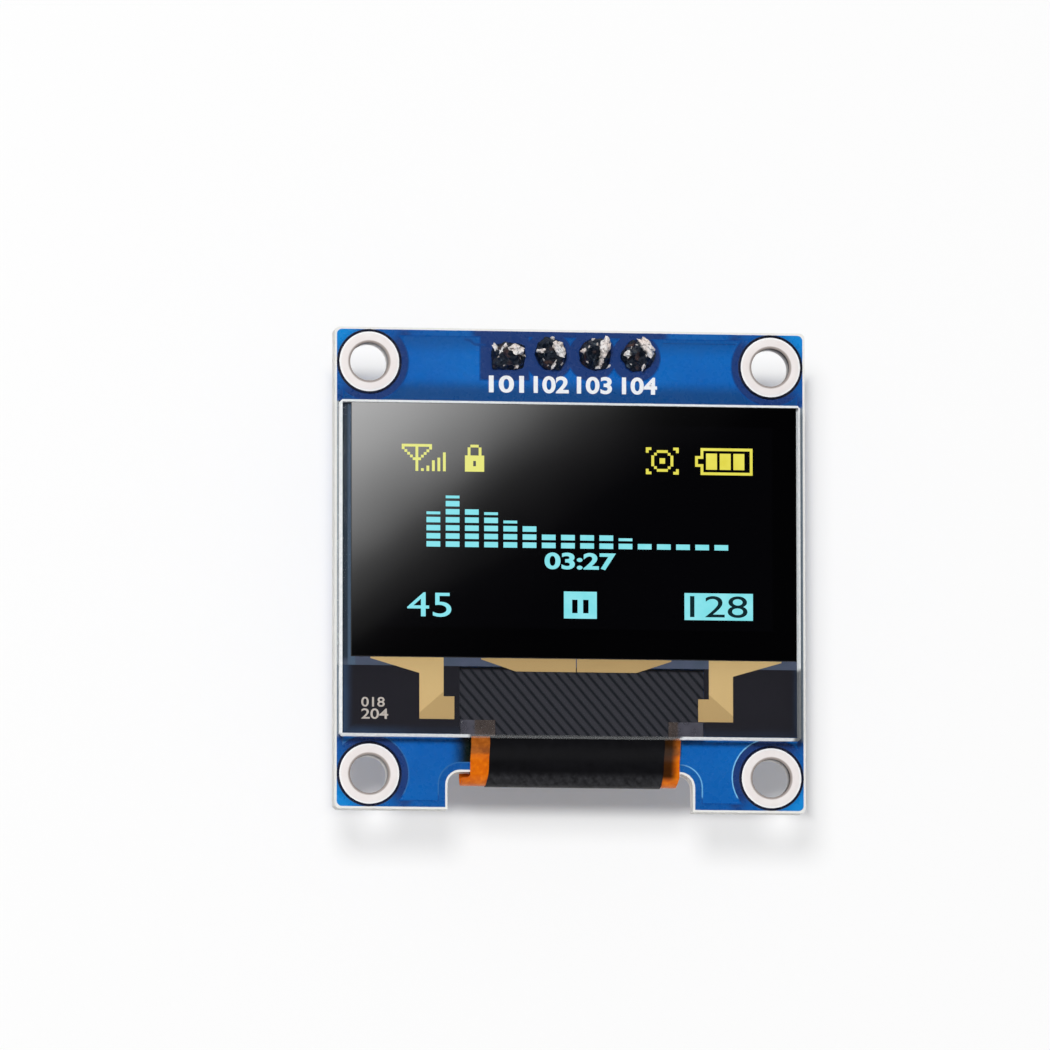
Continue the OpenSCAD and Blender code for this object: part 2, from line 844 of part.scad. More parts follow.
function capacitor_at(i) = [row_x + (i - 1) * part_pitch, capacitor_y];
function resistor_at(i) = [row_x + (i - 1) * part_pitch, resistor_y];
regulator_at = [regulator_x, capacitor_y];
diode_at = [diode_x, resistor_y];

// Pads at both ends of an upright part
module end_pads(length, width, grow) {
    reach = end_l + pad_past;
    for (side = [-1, 1]) translate([0, side * (length / 2 + pad_past - reach / 2)])
        square([width + 2 * grow, reach + 2 * grow], center = true);
}

function lead_places() = [[-lead_pitch / 2, -1], [lead_pitch / 2, -1], [0, 1]];

module regulator_pads(grow) {
    reach = lead_reach + pad_past;
    for (p = lead_places()) translate([p[1] * (regulator_w + reach) / 2, p[0]])
        square([reach + 2 * grow, lead_w + 2 * grow], center = true);
}

module back_pads2d(grow) {
    for (i = [1:capacitors]) translate(capacitor_at(i)) end_pads(chip_part_l, chip_part_w, grow);
    for (i = [1:resistors]) translate(resistor_at(i)) end_pads(chip_part_l, chip_part_w, grow);
    translate(diode_at) end_pads(diode_l, diode_w, grow);
    translate(regulator_at) regulator_pads(grow);
    translate([0, -grow]) contact_row(contact_l + 2 * grow);
}

module part_pads() {
    color("#d8cfc6") translate([0, 0, -copper_t]) linear_extrude(copper_t) {
        for (i = [1:capacitors]) translate(capacitor_at(i)) end_pads(chip_part_l, chip_part_w, 0);
        for (i = [1:resistors]) translate(resistor_at(i)) end_pads(chip_part_l, chip_part_w, 0);
        translate(diode_at) end_pads(diode_l, diode_w, 0);
        translate(regulator_at) regulator_pads(0);
    }
}

// A block on the back of the board, with its metal ends a little proud of its middle
module end_capped_block(at, length, width, height, waist) {
    translate([at[0], at[1], -copper_t - height]) linear_extrude(height) difference() {
        square([width, length], center = true);
        for (side = [-1, 1]) translate([side * width / 2, 0])
            square([2 * waist, length - 2 * end_l], center = true);
    }
}

module capacitor(i) {
    color("#b59a72") end_capped_block(capacitor_at(i), chip_part_l, chip_part_w, capacitor_h, 0.02);
}

module resistor(i) {
    color("#26262a") end_capped_block(resistor_at(i), chip_part_l, chip_part_w, resistor_h, 0.02);
}

module diode() {
    color("#1c1c1f") end_capped_block(diode_at, diode_l, diode_w, diode_h, 0.04);
}

// The moulded body tapers from its parting line to both faces.
module regulator() {
    half = regulator_w / 2;
    taper = 0.1;
    color("#1c1c1f") translate([regulator_at[0], regulator_at[1], -copper_t - regulator_h])
        rotate([90, 0, 0]) linear_extrude(regulator_l, center = true) polygon([
            [taper - half, 0], [half - taper, 0], [half, regulator_h / 2],
            [half - taper, regulator_h], [taper - half, regulator_h], [-half, regulator_h / 2]
        ]);
}

// A gull-wing lead in its side view: foot on the pad, upright, and shoulder at the body
module lead_view() {
    shoulder = lead_reach * 0.45;
    rise = regulator_h / 2;
    polygon([
        [0, rise - lead_t / 2], [shoulder, rise - lead_t / 2], [shoulder, 0], [lead_reach, 0],
        [lead_reach, lead_t], [shoulder + lead_t, lead_t], [shoulder + lead_t, rise + lead_t / 2],
        [0, rise + lead_t / 2]
    ]);
}

module regulator_leads() {
    color("#c9c6c0") difference() {
        for (p = lead_places())
            translate([regulator_at[0] + p[1] * regulator_w / 2, regulator_at[1] + p[0], -copper_t])
                rotate([-90, 0, 0]) mirror([p[1] < 0 ? 1 : 0, 0, 0])
                    linear_extrude(lead_w, center = true) lead_view();
        regulator();
    }
}

// ---- Nodes ------------------------------------------------------------------

circuit_board();
mask_front();
mask_back();
copper_front();
copper_back();
for (i = [1:4]) mounting_ring(i);
header_body();
for (i = [1:pins]) header_pin(i);
pin_pads();
for (i = [1:pins]) solder_joint(i);
tape_pad();
rear_glass();
moisture_getter();
edge_seal();
emitter_layer();
front_glass();
polarizer();
ledge_film();
electrode_left();
electrode_right();
electrode_centre();
lit_bars();
lit_status();
lit_boxes();
flex_cable();
flex_coverlay();
flex_bond();
driver_chip();
flex_pads();
flex_solder();
part_pads();
regulator();
regulator_leads();
diode();
for (i = [1:capacitors]) capacitor(i);
for (i = [1:resistors]) resistor(i);
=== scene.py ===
# %% [markdown]
# # Dressing a small lit display module
#
# The packed part gives exact solids: a blue board, two sheets of glass, a black film
# with lit fields, a folded flexible cable, four soldered pins and small parts on the
# back. This lesson gives each of them its real surface, and models again those pieces
# whose charm lies in soft edges, bends and blobs that a machine solid leaves out.
#
# Each step has a cell like this one, which says what the thing is and why it is made
# the way it is, and then short code cells.

import json
import math

import bmesh
import bpy
from mathutils import Matrix, Vector, noise

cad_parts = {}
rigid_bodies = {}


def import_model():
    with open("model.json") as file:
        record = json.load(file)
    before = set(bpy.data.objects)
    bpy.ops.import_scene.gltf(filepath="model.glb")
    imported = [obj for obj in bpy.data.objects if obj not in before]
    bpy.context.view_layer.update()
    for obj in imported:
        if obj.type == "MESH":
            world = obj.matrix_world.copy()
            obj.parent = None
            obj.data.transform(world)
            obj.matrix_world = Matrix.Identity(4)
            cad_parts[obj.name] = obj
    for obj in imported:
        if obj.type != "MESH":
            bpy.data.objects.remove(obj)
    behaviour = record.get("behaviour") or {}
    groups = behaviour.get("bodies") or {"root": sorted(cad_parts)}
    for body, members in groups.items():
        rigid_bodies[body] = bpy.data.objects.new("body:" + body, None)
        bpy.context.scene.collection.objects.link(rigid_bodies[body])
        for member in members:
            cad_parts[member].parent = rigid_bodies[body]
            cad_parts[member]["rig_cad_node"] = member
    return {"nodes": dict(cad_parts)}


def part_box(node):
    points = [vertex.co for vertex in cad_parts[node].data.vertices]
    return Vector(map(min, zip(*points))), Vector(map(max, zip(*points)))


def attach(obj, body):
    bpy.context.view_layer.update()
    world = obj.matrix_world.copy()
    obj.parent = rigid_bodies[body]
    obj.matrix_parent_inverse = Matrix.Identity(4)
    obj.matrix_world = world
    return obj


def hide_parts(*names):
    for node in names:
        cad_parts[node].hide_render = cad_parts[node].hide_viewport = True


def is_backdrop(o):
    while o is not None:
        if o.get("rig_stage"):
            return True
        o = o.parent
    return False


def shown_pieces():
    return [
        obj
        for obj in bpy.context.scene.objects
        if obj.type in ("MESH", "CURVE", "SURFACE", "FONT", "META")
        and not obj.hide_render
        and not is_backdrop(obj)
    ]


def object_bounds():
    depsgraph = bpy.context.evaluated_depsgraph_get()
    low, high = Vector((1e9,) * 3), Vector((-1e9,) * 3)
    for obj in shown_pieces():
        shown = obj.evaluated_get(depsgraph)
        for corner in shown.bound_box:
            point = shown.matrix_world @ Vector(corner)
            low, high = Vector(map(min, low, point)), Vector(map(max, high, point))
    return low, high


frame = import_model()
cad_low, cad_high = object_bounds()
print("packed part:", len(frame["nodes"]), "nodes,", [round(1000 * s, 2) for s in cad_high - cad_low], "mm")

# %% [markdown]
# ## Measuring in millimetres
#
# Blender counts in metres, and so does the packed part. On something 28 mm wide that
# gives long rows of zeros, so every measure here is written in millimetres and turned
# into metres only when a piece is finished. Places are read from the packed nodes, so
# that a piece always sits exactly where its solid is.

# %% Millimetre measures of the nodes
MM = 0.001


class Span:
    """The box of a packed node, in millimetres."""

    def __init__(self, node):
        low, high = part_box(node)
        self.low, self.high = low / MM, high / MM
        self.middle = (self.low + self.high) / 2
        self.size = self.high - self.low


board, copper, glass = Span("circuit_board"), Span("copper_front"), Span("front_glass")
film, ledge, glue = Span("polarizer"), Span("ledge_film"), Span("flex_bond")
cable_x = Span("electrode_centre").middle.x
print("board", [round(v, 2) for v in board.size], "glass", [round(v, 2) for v in glass.size])
print("middle of the cable at x =", round(cable_x, 3))

# %% [markdown]
# ## Shader sums written as Python
#
# A procedural finish is mostly arithmetic: a mask times a colour, one minus a stripe.
# Wiring twenty Math nodes by hand hides that arithmetic, so a small class stands for a
# socket and adds the Math node whenever it meets an operator. The reflected forms
# (`__radd__` and so on) let a plain number stand on the left, as in `1 - mask`.

# %% A socket that does sums
class Wire:
    """One output socket in a node tree."""

    def __init__(self, nodes, socket):
        self.nodes, self.socket = nodes, socket

    def sum(self, operation, *values, clamp=False):
        return self.nodes.node("ShaderNodeMath", {"operation": operation, "use_clamp": clamp},
                               dict(enumerate(values)))

    def __add__(self, other): return self.sum("ADD", self, other)
    def __radd__(self, other): return self.sum("ADD", other, self)
    def __sub__(self, other): return self.sum("SUBTRACT", self, other)
    def __rsub__(self, other): return self.sum("SUBTRACT", other, self)
    def __mul__(self, other): return self.sum("MULTIPLY", self, other)
    def __rmul__(self, other): return self.sum("MULTIPLY", other, self)
    def __truediv__(self, other): return self.sum("DIVIDE", self, other)
    def __pow__(self, other): return self.sum("POWER", self, other)
    def __abs__(self): return self.sum("ABSOLUTE", self)

    def clamp(self): return self.sum("ADD", self, 0.0, clamp=True)
    def most(self, other): return self.sum("MAXIMUM", self, other)
    def wave(self): return self.sum("SINE", self)


print("a Wire is:", Wire.__doc__)

# %% [markdown]
# ## One class for every finish
#
# The `node` method is the only place that adds nodes: it takes the node's type, the
# settings that its sockets depend on, and then the values or links of its sockets. A
# few words on top of it name what comes back in every finish. A finish is a material
# with one Principled shader, and the surround uses the same words for its own tree.

# %% Node trees by expressions
def shade(code):
    """A colour code such as "1263b4" as linear light. What is no code stays as it is."""
    if not isinstance(code, str):
        return code
    parts = [int(code[i:i + 2], 16) / 255 for i in (0, 2, 4)]
    return tuple(p / 12.92 if p <= 0.04045 else ((p + 0.055) / 1.055) ** 2.4 for p in parts) + (1.0,)


class Nodes:
    """A node tree that is built by expressions."""

    def __init__(self, tree):
        self.tree = tree

    def plug(self, socket, value):
        if isinstance(value, Wire):
            self.tree.links.new(value.socket, socket)
        else:
            socket.default_value = shade(value)

    def node(self, kind, settings=None, sockets=None, out=0):
        made = self.tree.nodes.new(kind)
        for key, value in (settings or {}).items():
            setattr(made, key, value)
        for key, value in (sockets or {}).items():
            self.plug(made.inputs[key], value)
        return Wire(self, made.outputs[out])

    def place(self, centre=(0, 0, 0), stretch=(1, 1, 1)):
        """The point of the surface in millimetres, from a centre, stretched."""
        point = self.node("ShaderNodeTexCoord", out="Object")
        point = self.node("ShaderNodeMapping", None,
                          {"Vector": point, "Location": [-c for c in centre], "Scale": (1 / MM,) * 3})
        return self.node("ShaderNodeMapping", None, {"Vector": point, "Scale": stretch})


print("board blue as linear light:", [round(v, 3) for v in shade("1263b4")[:3]])


# %% Words for patterns
def axes(vector):
    """X, Y and Z of a vector."""
    split = vector.nodes.node("ShaderNodeSeparateXYZ", None, {0: vector}).socket.node
    return [Wire(vector.nodes, socket) for socket in split.outputs]


def cloud(vector, scale, detail, warp=0.0):
    return vector.nodes.node("ShaderNodeTexNoise", None,
                             {"Vector": vector, "Scale": scale, "Detail": detail, "Distortion": warp})


def mix(factor, one, other):
    return factor.nodes.node("ShaderNodeMix", {"data_type": "RGBA"}, {0: factor, 6: one, 7: other}, out=2)


def ease(value, low, high, to_low=0.0, to_high=1.0):
    """A soft step from to_low at low to to_high at high."""
    return value.nodes.node("ShaderNodeMapRange", {"interpolation_type": "SMOOTHSTEP"},
                            {0: value, 1: low, 2: high, 3: to_low, 4: to_high})


def bump(height, depth):
    """A bump whose height of 1 stands for a depth in millimetres."""
    return height.nodes.node("ShaderNodeBump", None, {"Height": height, "Distance": depth * MM})


print("five words: axes, cloud, mix, ease, bump")


# %% Finishes
class Finish(Nodes):
    """A material with one Principled shader."""

    def __init__(self, name, **constants):
        self.material = bpy.data.materials.new(name)
        self.material.use_nodes = True
        super().__init__(self.material.node_tree)
        self.shader = next(n for n in self.tree.nodes if n.type == "BSDF_PRINCIPLED")
        self.set(**constants)

    def set(self, **sockets):
        """Values or wires for the shader, named as Base_Color, Coat_Weight."""
        for key, value in sockets.items():
            self.plug(self.shader.inputs[key.replace("_", " ")], value)


def clouded(name, low, high, scale, detail, stretch=(1, 1, 1), rough=None, depth=0.0, **constants):
    """A finish in which one cloud mixes two tones, and may steer roughness (from, by) and height."""
    finish = Finish(name, **constants)
    haze = cloud(finish.place(stretch=stretch), scale, detail)
    finish.set(Base_Color=mix(haze, low, high))
    if rough:
        finish.set(Roughness=haze * rough[1] + rough[0])
    if depth:
        finish.set(Normal=bump(haze, depth))
    return finish


print("finishes set sockets by name, such as Base_Color")

# %% [markdown]
# ## Finished pieces and dressed nodes
#
# A new piece is drawn in a bmesh, in millimetres. `settle` merges its doubles, turns its
# faces outwards, brings it to metres and hands it to the packed body that it rides on.
# The mesh holds the place, and the object stays at the origin, as the packed nodes do.
# A packed node whose shape is right already only needs `dress`.

# %% Settle a piece, dress a node
def linked(name, data):
    made = bpy.data.objects.new(name, data)
    bpy.context.scene.collection.objects.link(made)
    return made


def in_scene(name, shape, *finishes):
    """Makes a bmesh in millimetres an object in metres."""
    bmesh.ops.scale(shape, vec=(MM,) * 3, verts=shape.verts)
    mesh = bpy.data.meshes.new(name)
    shape.to_mesh(mesh)
    shape.free()
    for finish in finishes:
        mesh.materials.append(finish.material)
    return linked(name, mesh)


def settle(name, shape, finishes, stands_for=None, smooth_below=35, outward=True):
    """Finishes a piece, which may stand for a packed node."""
    if outward:
        bmesh.ops.remove_doubles(shape, verts=shape.verts, dist=1e-4)
        bmesh.ops.recalc_face_normals(shape, faces=shape.faces)
    piece = in_scene(name, shape, *finishes)
    piece.data.shade_smooth()
    piece.data.set_sharp_from_angle(angle=math.radians(smooth_below))
    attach(piece, "root")
    if stands_for:
        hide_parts(stands_for)
    print(name, len(piece.data.polygons), "faces")
    return piece


dressed = []


def dress(finish, *nodes):
    for node in nodes:
        mesh = frame["nodes"][node].data
        mesh.materials.clear()
        mesh.materials.append(finish.material)
        dressed.append(node)


print("pieces settle in the scene, and nodes are dressed")


# %% Moves that come back in many shapes
def block(shape, low, high, rim=0.0, segments=2, paint=0):
    """A block between two corners with its edges rounded."""
    old = set(shape.faces)
    low, high = Vector(low), Vector(high)
    place = Matrix.Translation((low + high) / 2) @ Matrix.Diagonal((*(high - low), 1))
    made = bmesh.ops.create_cube(shape, size=1, matrix=place)["verts"]
    if rim:
        edges = {e for v in made for e in v.link_edges}
        bmesh.ops.bevel(shape, geom=list(edges), affect="EDGES", offset=rim, segments=segments, profile=0.5,
                        material=-1)
    for face in set(shape.faces) - old:
        face.material_index = paint


def spun(shape, profile, steps, at=(0, 0), closed=False):
    """Spins points (radius, height) about an upright axis."""
    points = [shape.verts.new((at[0] + r, at[1], z)) for r, z in profile]
    edges = [shape.edges.new(pair) for pair in zip(points, points[1:] + points[:1] * closed)]
    bmesh.ops.spin(shape, geom=points + edges, cent=(*at, 0), axis=(0, 0, 1), angle=math.tau, steps=steps,
                   use_merge=True)


def cut(shape, at, along):
    """Cuts a shape by a plane and keeps both sides."""
    bmesh.ops.bisect_plane(shape, geom=shape.verts[:] + shape.edges[:] + shape.faces[:], dist=1e-5,
                           plane_co=at, plane_no=along)


def thicken(shape, height):
    """Gives a flat shape its height."""
    top = bmesh.ops.extrude_face_region(shape, geom=shape.faces[:])["geom"]
    bmesh.ops.translate(shape, vec=(0, 0, height), verts=[g for g in top if isinstance(g, bmesh.types.BMVert)])


def pour(part, shape):
    """Moves what one bmesh holds into another."""
    spare = bpy.data.meshes.new("spare")
    part.to_mesh(spare)
    part.free()
    shape.from_mesh(spare)
    bpy.data.meshes.remove(spare)


print("five moves: block, spun, cut, thicken, pour")

# %% [markdown]
# ## Camera, light and floor
#
# The module is looked at from far away through a long lens, seven and a half degrees
# from its left and six and a half from below, so that edges stay almost parallel. One
# white surround lights it softly from everywhere, and a broad lamp from the upper left
# adds the direction. Both together come to about one, so a colour shows as it is written.

# %% Camera
YAW, PITCH, ROLL, FAR = 7.5, 6.5, 0.05, 800.0
sight = Vector((math.tan(math.radians(YAW)), math.tan(math.radians(PITCH)), -1)).normalized()
right = sight.cross(Vector((0, 1, 0))).normalized()
up = right.cross(sight)
turn = Matrix.Rotation(math.radians(ROLL), 3, sight)
right, up = turn @ right, turn @ up
aim = Vector((-2.630, 2.563, board.high.z))
lens = bpy.data.cameras.new("view_lens")
lens.lens, lens.sensor_width = 477.1, 36.0
lens.clip_start, lens.clip_end = 0.01, 20
camera = linked("view", lens)
facing = Matrix((right, up, -sight)).transposed().to_4x4()
camera.matrix_world = Matrix.Translation((aim - sight * FAR) * MM) @ facing
bpy.context.scene.camera = camera
print("camera at", [round(v, 1) for v in camera.location / MM], "mm")

# %% Surround
SURROUND = 0.3
bpy.context.scene.view_settings.view_transform = "Standard"
world = bpy.data.worlds.new("surround")
world.use_nodes = True
bpy.context.scene.world = world
sky = Nodes(world.node_tree)
seen = sky.node("ShaderNodeLightPath", out="Is Camera Ray")
for ray in ("Is Glossy Ray", "Is Transmission Ray"):
    seen = seen.most(sky.node("ShaderNodeLightPath", out=ray))
back = sky.tree.nodes["Background"]
sky.plug(back.inputs["Color"], "ffffff")
sky.plug(back.inputs["Strength"], sky.node("ShaderNodeMapRange", None, {0: seen, 3: SURROUND, 4: 1.0}))
print("surround lights at", SURROUND, "and shows at 1")

# %% Lamp
LAMP_LEVEL = 0.7
lamp = bpy.data.lights.new("soft_lamp", "AREA")
lamp.shape, lamp.size = "DISK", 0.10
lamp_at = Vector((-93.0, 67.0, 480.0))
lamp.energy = LAMP_LEVEL * (math.pi * lamp_at.length * MM) ** 2 * lamp_at.length / lamp_at.z
lamp_object = linked("soft_lamp", lamp)
lamp_object.visible_glossy = False
lamp_object.matrix_world = (Matrix.Translation(lamp_at * MM)
                            @ (-lamp_at).to_track_quat("-Z", "Y").to_matrix().to_4x4())
print("lamp", round(lamp_at.length), "mm away")

# %% [markdown]
# The floor is a plain white sheet under the pin tips. It is solid from above, and lets
# the camera through from below, so that the soldered side can be looked at as well. To
# the camera it shows partly its own white, which keeps the shadow light. That own white
# is painted weaker under the board and stronger round it, so the shadow stays deep in
# the notch and the holes and fades out beside the board.

# %% Floor
floor_z = cad_low.z / MM - 0.05


def sheet_of(name, size, at, finish):
    """A square sheet of the set."""
    shape = bmesh.new()
    bmesh.ops.create_grid(shape, x_segments=1, y_segments=1, size=size)
    bmesh.ops.translate(shape, vec=at, verts=shape.verts)
    return in_scene(name, shape, finish)


white = Finish("floor_white", Roughness=0.9, Specular_IOR_Level=0.1, Emission_Strength=1.0)
x, y, _ = axes(white.place())
# painted light and shade: the floor's own white is weak under the board's footprint and strong beyond it
beside = abs(x - 1.2) - (board.size.x / 2 + 0.2)
before = abs(y + 0.3) - (board.size.y / 2 - 1.5)
own_white = ease(beside.most(before), -0.2, 0.9, 0.13, 0.7) * white.node("ShaderNodeLightPath")
white.set(Base_Color=mix(own_white, (0.97, 0.97, 0.97, 1), "000000"))
white.set(Emission_Color=mix(own_white, "000000", "ffffff"))
white.set(Alpha=1 - white.node("ShaderNodeNewGeometry", out="Backfacing"))
floor = sheet_of("floor", 2000, (0, 0, floor_z), white)
floor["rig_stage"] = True
print("floor at z =", round(floor_z, 2), "mm")

# %% [markdown]
# ## The lacquered board
#
# The board is glass fibre in resin, sawn at its rim, with copper on both faces and blue
# lacquer over everything. Where copper lies under it the lacquer looks bright blue, and
# bare laminate makes it navy. Both share one recipe: slow clouds for the uneven coat, a
# fine weave that telegraphs through the lacquer, and finer clouds for its gloss. A tint
# lays a third tone over the two, in places that are given in millimetres.

# %% Lacquer
def lacquer(name, deep, bright, weave=0.0, tint=None):
    finish = Finish(name, Specular_IOR_Level=0.45)
    point = finish.place()
    x, y, z = axes(point)
    clouds, fine = cloud(point, 0.22, 3.0), cloud(point, 2.4, 4.0)
    tone = mix(((clouds * 0.75 + fine * 0.25 - 0.35) / 0.3).clamp(), deep, bright)
    finish.set(Base_Color=tint(tone, x, y, z) if tint else tone, Roughness=fine * 0.16 + 0.2)
    thread = (x * 12.5).wave() * (y * 12.5).wave()
    finish.set(Normal=bump(thread * weave + fine * 0.8, 0.008))
    return finish


HOLE_X, HOLE_Y = 11.65, 11.9


def from_holes(x, y):
    """How far a point lies outwards from the nearest hole, and how far in all."""
    across, along = abs(x) - HOLE_X, abs(y) - HOLE_Y
    return across + along, (across * across + along * along) ** 0.5


def duller_parts(tone, x, y, z):
    """Copper fields are darker near the header's edge and towards the bottom; painted shade lies by the glass's top
    edge, and a painted shadow of the cable beside it.
    """
    front = ease(z, 0.5, 0.7)
    near_top = ease(y, 12.2, 13.3) * 0.6
    # painted shade that the glass would cast on the board by its top edge
    glass_shade = ease(y, 11.1, 10.2) * ease(y, 0.0, 5.0)
    foot = ease(y, -9.6, -12.0) * 0.15
    tone = mix(near_top.most(glass_shade).most(foot) * front, tone, "0c4886")
    # painted shadow of the cable on the board to its left
    cable_shadow = ease(x, -7.1, -6.0) * ease(x, -3.0, -4.0) * ease(y, -8.0, -9.0)
    return mix(cable_shadow * front, tone, "04130f")


def by_the_holes(tone, x, y, z):
    """Navy on the inner side of the holes and round the pads; a painted glow of light let in by the sawn edges
    brightens the corners, and a painted grey reflection of the glass's edge lies on the strips beside the glass.
    """
    outwards, reach = from_holes(x, y)
    # painted glow: light let in through the sawn edges, brightest out in the corners
    tone = mix(ease(outwards, 1.8, 3.3) * 0.85, tone, "0a8cdc")
    # painted reflection of the glass's edge, grey on the strips beside the glass
    glass_edge_reflection = ease(abs(x), 13.0, 13.2) * ease(abs(y + 0.1), 9.8, 9.6) * ease(z, 0.5, 0.7)
    tone = mix(glass_edge_reflection, tone, "7d8a97")
    navy = ease(reach, 3.1, 2.6) * ease(outwards, 0.6, -0.8)
    pads = ease(abs(x), 5.9, 5.4) * ease(y, 10.4, 10.9)
    return mix(navy.most(pads), tone, "1c3a76")


def lit_shoulder(tone, x, y, z):
    """The painted highlight on the shoulder is brightest in the lower right of the board, and a darker blue elsewhere.
    """
    lower = ease(y, -9.0, -10.0) * ease(y, -13.16, -12.98) * ease(x, 11.7, 11.4)
    return mix(lower * ease(x, 6.2, 7.2, 0.2, 1.0), "0b4d98", tone)


blue_copper = lacquer("lacquer_over_copper", "005cb2", "0468bd", 0.04, duller_parts)
blue_bare = lacquer("lacquer_over_laminate", "064e9c", "0c5fab", 0.1, by_the_holes)
# near-black lacquer for the lip round the rings: a painted shadow
lip_shadow = lacquer("lacquer_lip_shadow", "070b1c", "0f1836")
edge_highlight = lacquer("lacquer_edge_painted_highlight", "58a6dc", "84c4ec", tint=lit_shoulder)
dress(blue_copper, "copper_back")
dress(blue_bare, "mask_front", "mask_back", "pin_pads")
print("lacquer on", len(dressed), "nodes")

# %% Laminate
laminate = Finish("sawn_laminate", Roughness=0.75)
layers = (axes(laminate.place())[2] * 42).wave() * 0.5 + 0.5
fibres = cloud(laminate.place(stretch=(1, 1, 6)), 9.0, 4.0)
laminate.set(Base_Color=mix((layers * 0.5 + fibres * 0.6 - 0.1).clamp(), "e2e0dc", "fbfaf6"))
laminate.set(Normal=bump(fibres + layers * 0.5, 0.02))
dress(laminate, "circuit_board")
print("laminate on the rim of the board")

# %% [markdown]
# Where copper ends under the lacquer the coat steps down, and along that soft shoulder
# a thin light line runs round every copper field, a highlight painted as lighter blue
# on the shoulder's faces. A copy of the packed sheet gets its top inset by the width of
# the shoulder, and the outer rim of the inset is let down.

# %% Copper field with a soft shoulder
SHOULDER_W, SHOULDER_DROP = 0.07, 0.018
shape = bmesh.new()
shape.from_mesh(frame["nodes"]["copper_front"].data)
bmesh.ops.scale(shape, vec=(1 / MM,) * 3, verts=shape.verts)
bmesh.ops.remove_doubles(shape, verts=shape.verts, dist=1e-4)
bmesh.ops.dissolve_limit(shape, angle_limit=0.02, verts=shape.verts, edges=shape.edges)
shape.normal_update()
tops = [f for f in shape.faces if f.normal.z > 0.9]
rim = {v for e in shape.edges for v in e.verts if len({f.normal.z > 0.9 for f in e.link_faces}) == 2}
made = bmesh.ops.inset_region(shape, faces=tops, thickness=SHOULDER_W, use_even_offset=True)["faces"]
for v in rim:
    v.co.z -= SHOULDER_DROP
for face in made:
    face.material_index = 1
settle("coated_copper", shape, [blue_copper, edge_highlight], "copper_front", smooth_below=5)

# %% [markdown]
# ## Plated rings
#
# Each mounting hole is lined with tin-plated copper that lies as a flat ring on both
# faces. A ring is a turned shape, so a small profile is spun about the hole's axis. Its
# rims are rounded, which gives the thin bright line that a sharp solid lacks; a painted
# highlight near the outer rim adds to it, and painted shade greys the edge of the hole.
# The lacquer ends in a dark lip round it, a painted shadow where it steps down to the ring.

# %% Tinned metal
tinned = Finish("tinned_copper", Metallic=0.04)
point = tinned.place()
skin, pits = cloud(point, 1.2, 5.0), cloud(point, 14.0, 2.0)
_, reach = from_holes(*axes(point)[:2])
tone = mix(skin, "efe5e2", "fbf7f6")
# painted highlight: a white band near the outer rim
tone = mix(ease(reach, 1.58, 1.68) * ease(reach, 1.9, 1.8), tone, "ffffff")
# painted shade: greyer towards the edge of the hole
tinned.set(Base_Color=mix(ease(reach, 1.27, 1.17), tone, "a39893"))
tinned.set(Roughness=skin * 0.2 + 0.34, Normal=bump(skin * 0.6 + pits * 0.4, 0.02))
dress(tinned, "part_pads", "flex_pads", "regulator_leads")

barrel = Finish("drilled_barrel", Metallic=0.1)
x, _, z = axes(barrel.place())
depth = (z - board.middle.z) / (board.size.z / 2)
turned = cloud(barrel.place(stretch=(1, 1, 5)), 2.0, 4.0)
# a dark band near the rim: a drilled burr, with painted shade that is deeper on the holes to the right
burr_and_shade = ease(depth + turned * 0.2, 0.3, 0.5) * ease(x, -20, 8, 0.5, 1.0)
# the wall is greyer towards the front face than deep in the hole
plating = mix(ease(depth + turned * 0.5, -0.5, 0.3), "f3efec", "aaa6a4")
barrel.set(Base_Color=mix(burr_and_shade, plating, "2d2725"))
barrel.set(Roughness=turned * 0.3 + 0.3, Normal=bump(turned, 0.05))
print("tin and plated wall")

# %% Four rings
HOLE_R, SOFT, RING_STEPS = 1.1, 0.09, 72
for number in range(1, 5):
    node = f"mounting_ring_{number}"
    ring = Span(node)
    outer, low, high = ring.size.x / 2, ring.low.z, ring.high.z
    plated, lip = bmesh.new(), bmesh.new()
    spun(plated, [(outer, 0.02 + board.high.z), (outer, high - 0.02), (outer - 0.03, high), (HOLE_R + SOFT, high),
                  (HOLE_R + SOFT * 0.3, high - SOFT * 0.3), (HOLE_R, high - SOFT), (HOLE_R, low + SOFT),
                  (HOLE_R + SOFT * 0.3, low + SOFT * 0.3), (HOLE_R + SOFT, low), (outer - 0.03, low),
                  (outer, low + 0.02), (outer, -0.02)], RING_STEPS)
    for face in plated.faces:
        if all(abs(v.co.xy.length - HOLE_R) < 0.01 for v in face.verts):
            face.material_index = 1
    # the lip's near-black is a painted shadow
    spun(lip, [(outer - 0.02, high - 0.01), (outer - 0.02, high + 0.006), (outer + 0.1, high + 0.006),
               (outer + 0.13, high - 0.02)], RING_STEPS, closed=True)
    for shape in (plated, lip):
        bmesh.ops.translate(shape, vec=(ring.middle.x, ring.middle.y, 0), verts=shape.verts)
    settle(f"plated_hole_{number}", plated, [tinned, barrel], node, smooth_below=50)
    settle(f"lacquer_lip_shadow_{number}", lip, [lip_shadow])

# %% [markdown]
# ## Glass
#
# The display is two sheets of glass with a lit layer between them. The front sheet is
# clear, and its ground rim catches the light as a white line. A slab with chamfered
# edges shows this once its faces and its rim get different finishes, so the bevel's
# faces are picked out by which way they look.

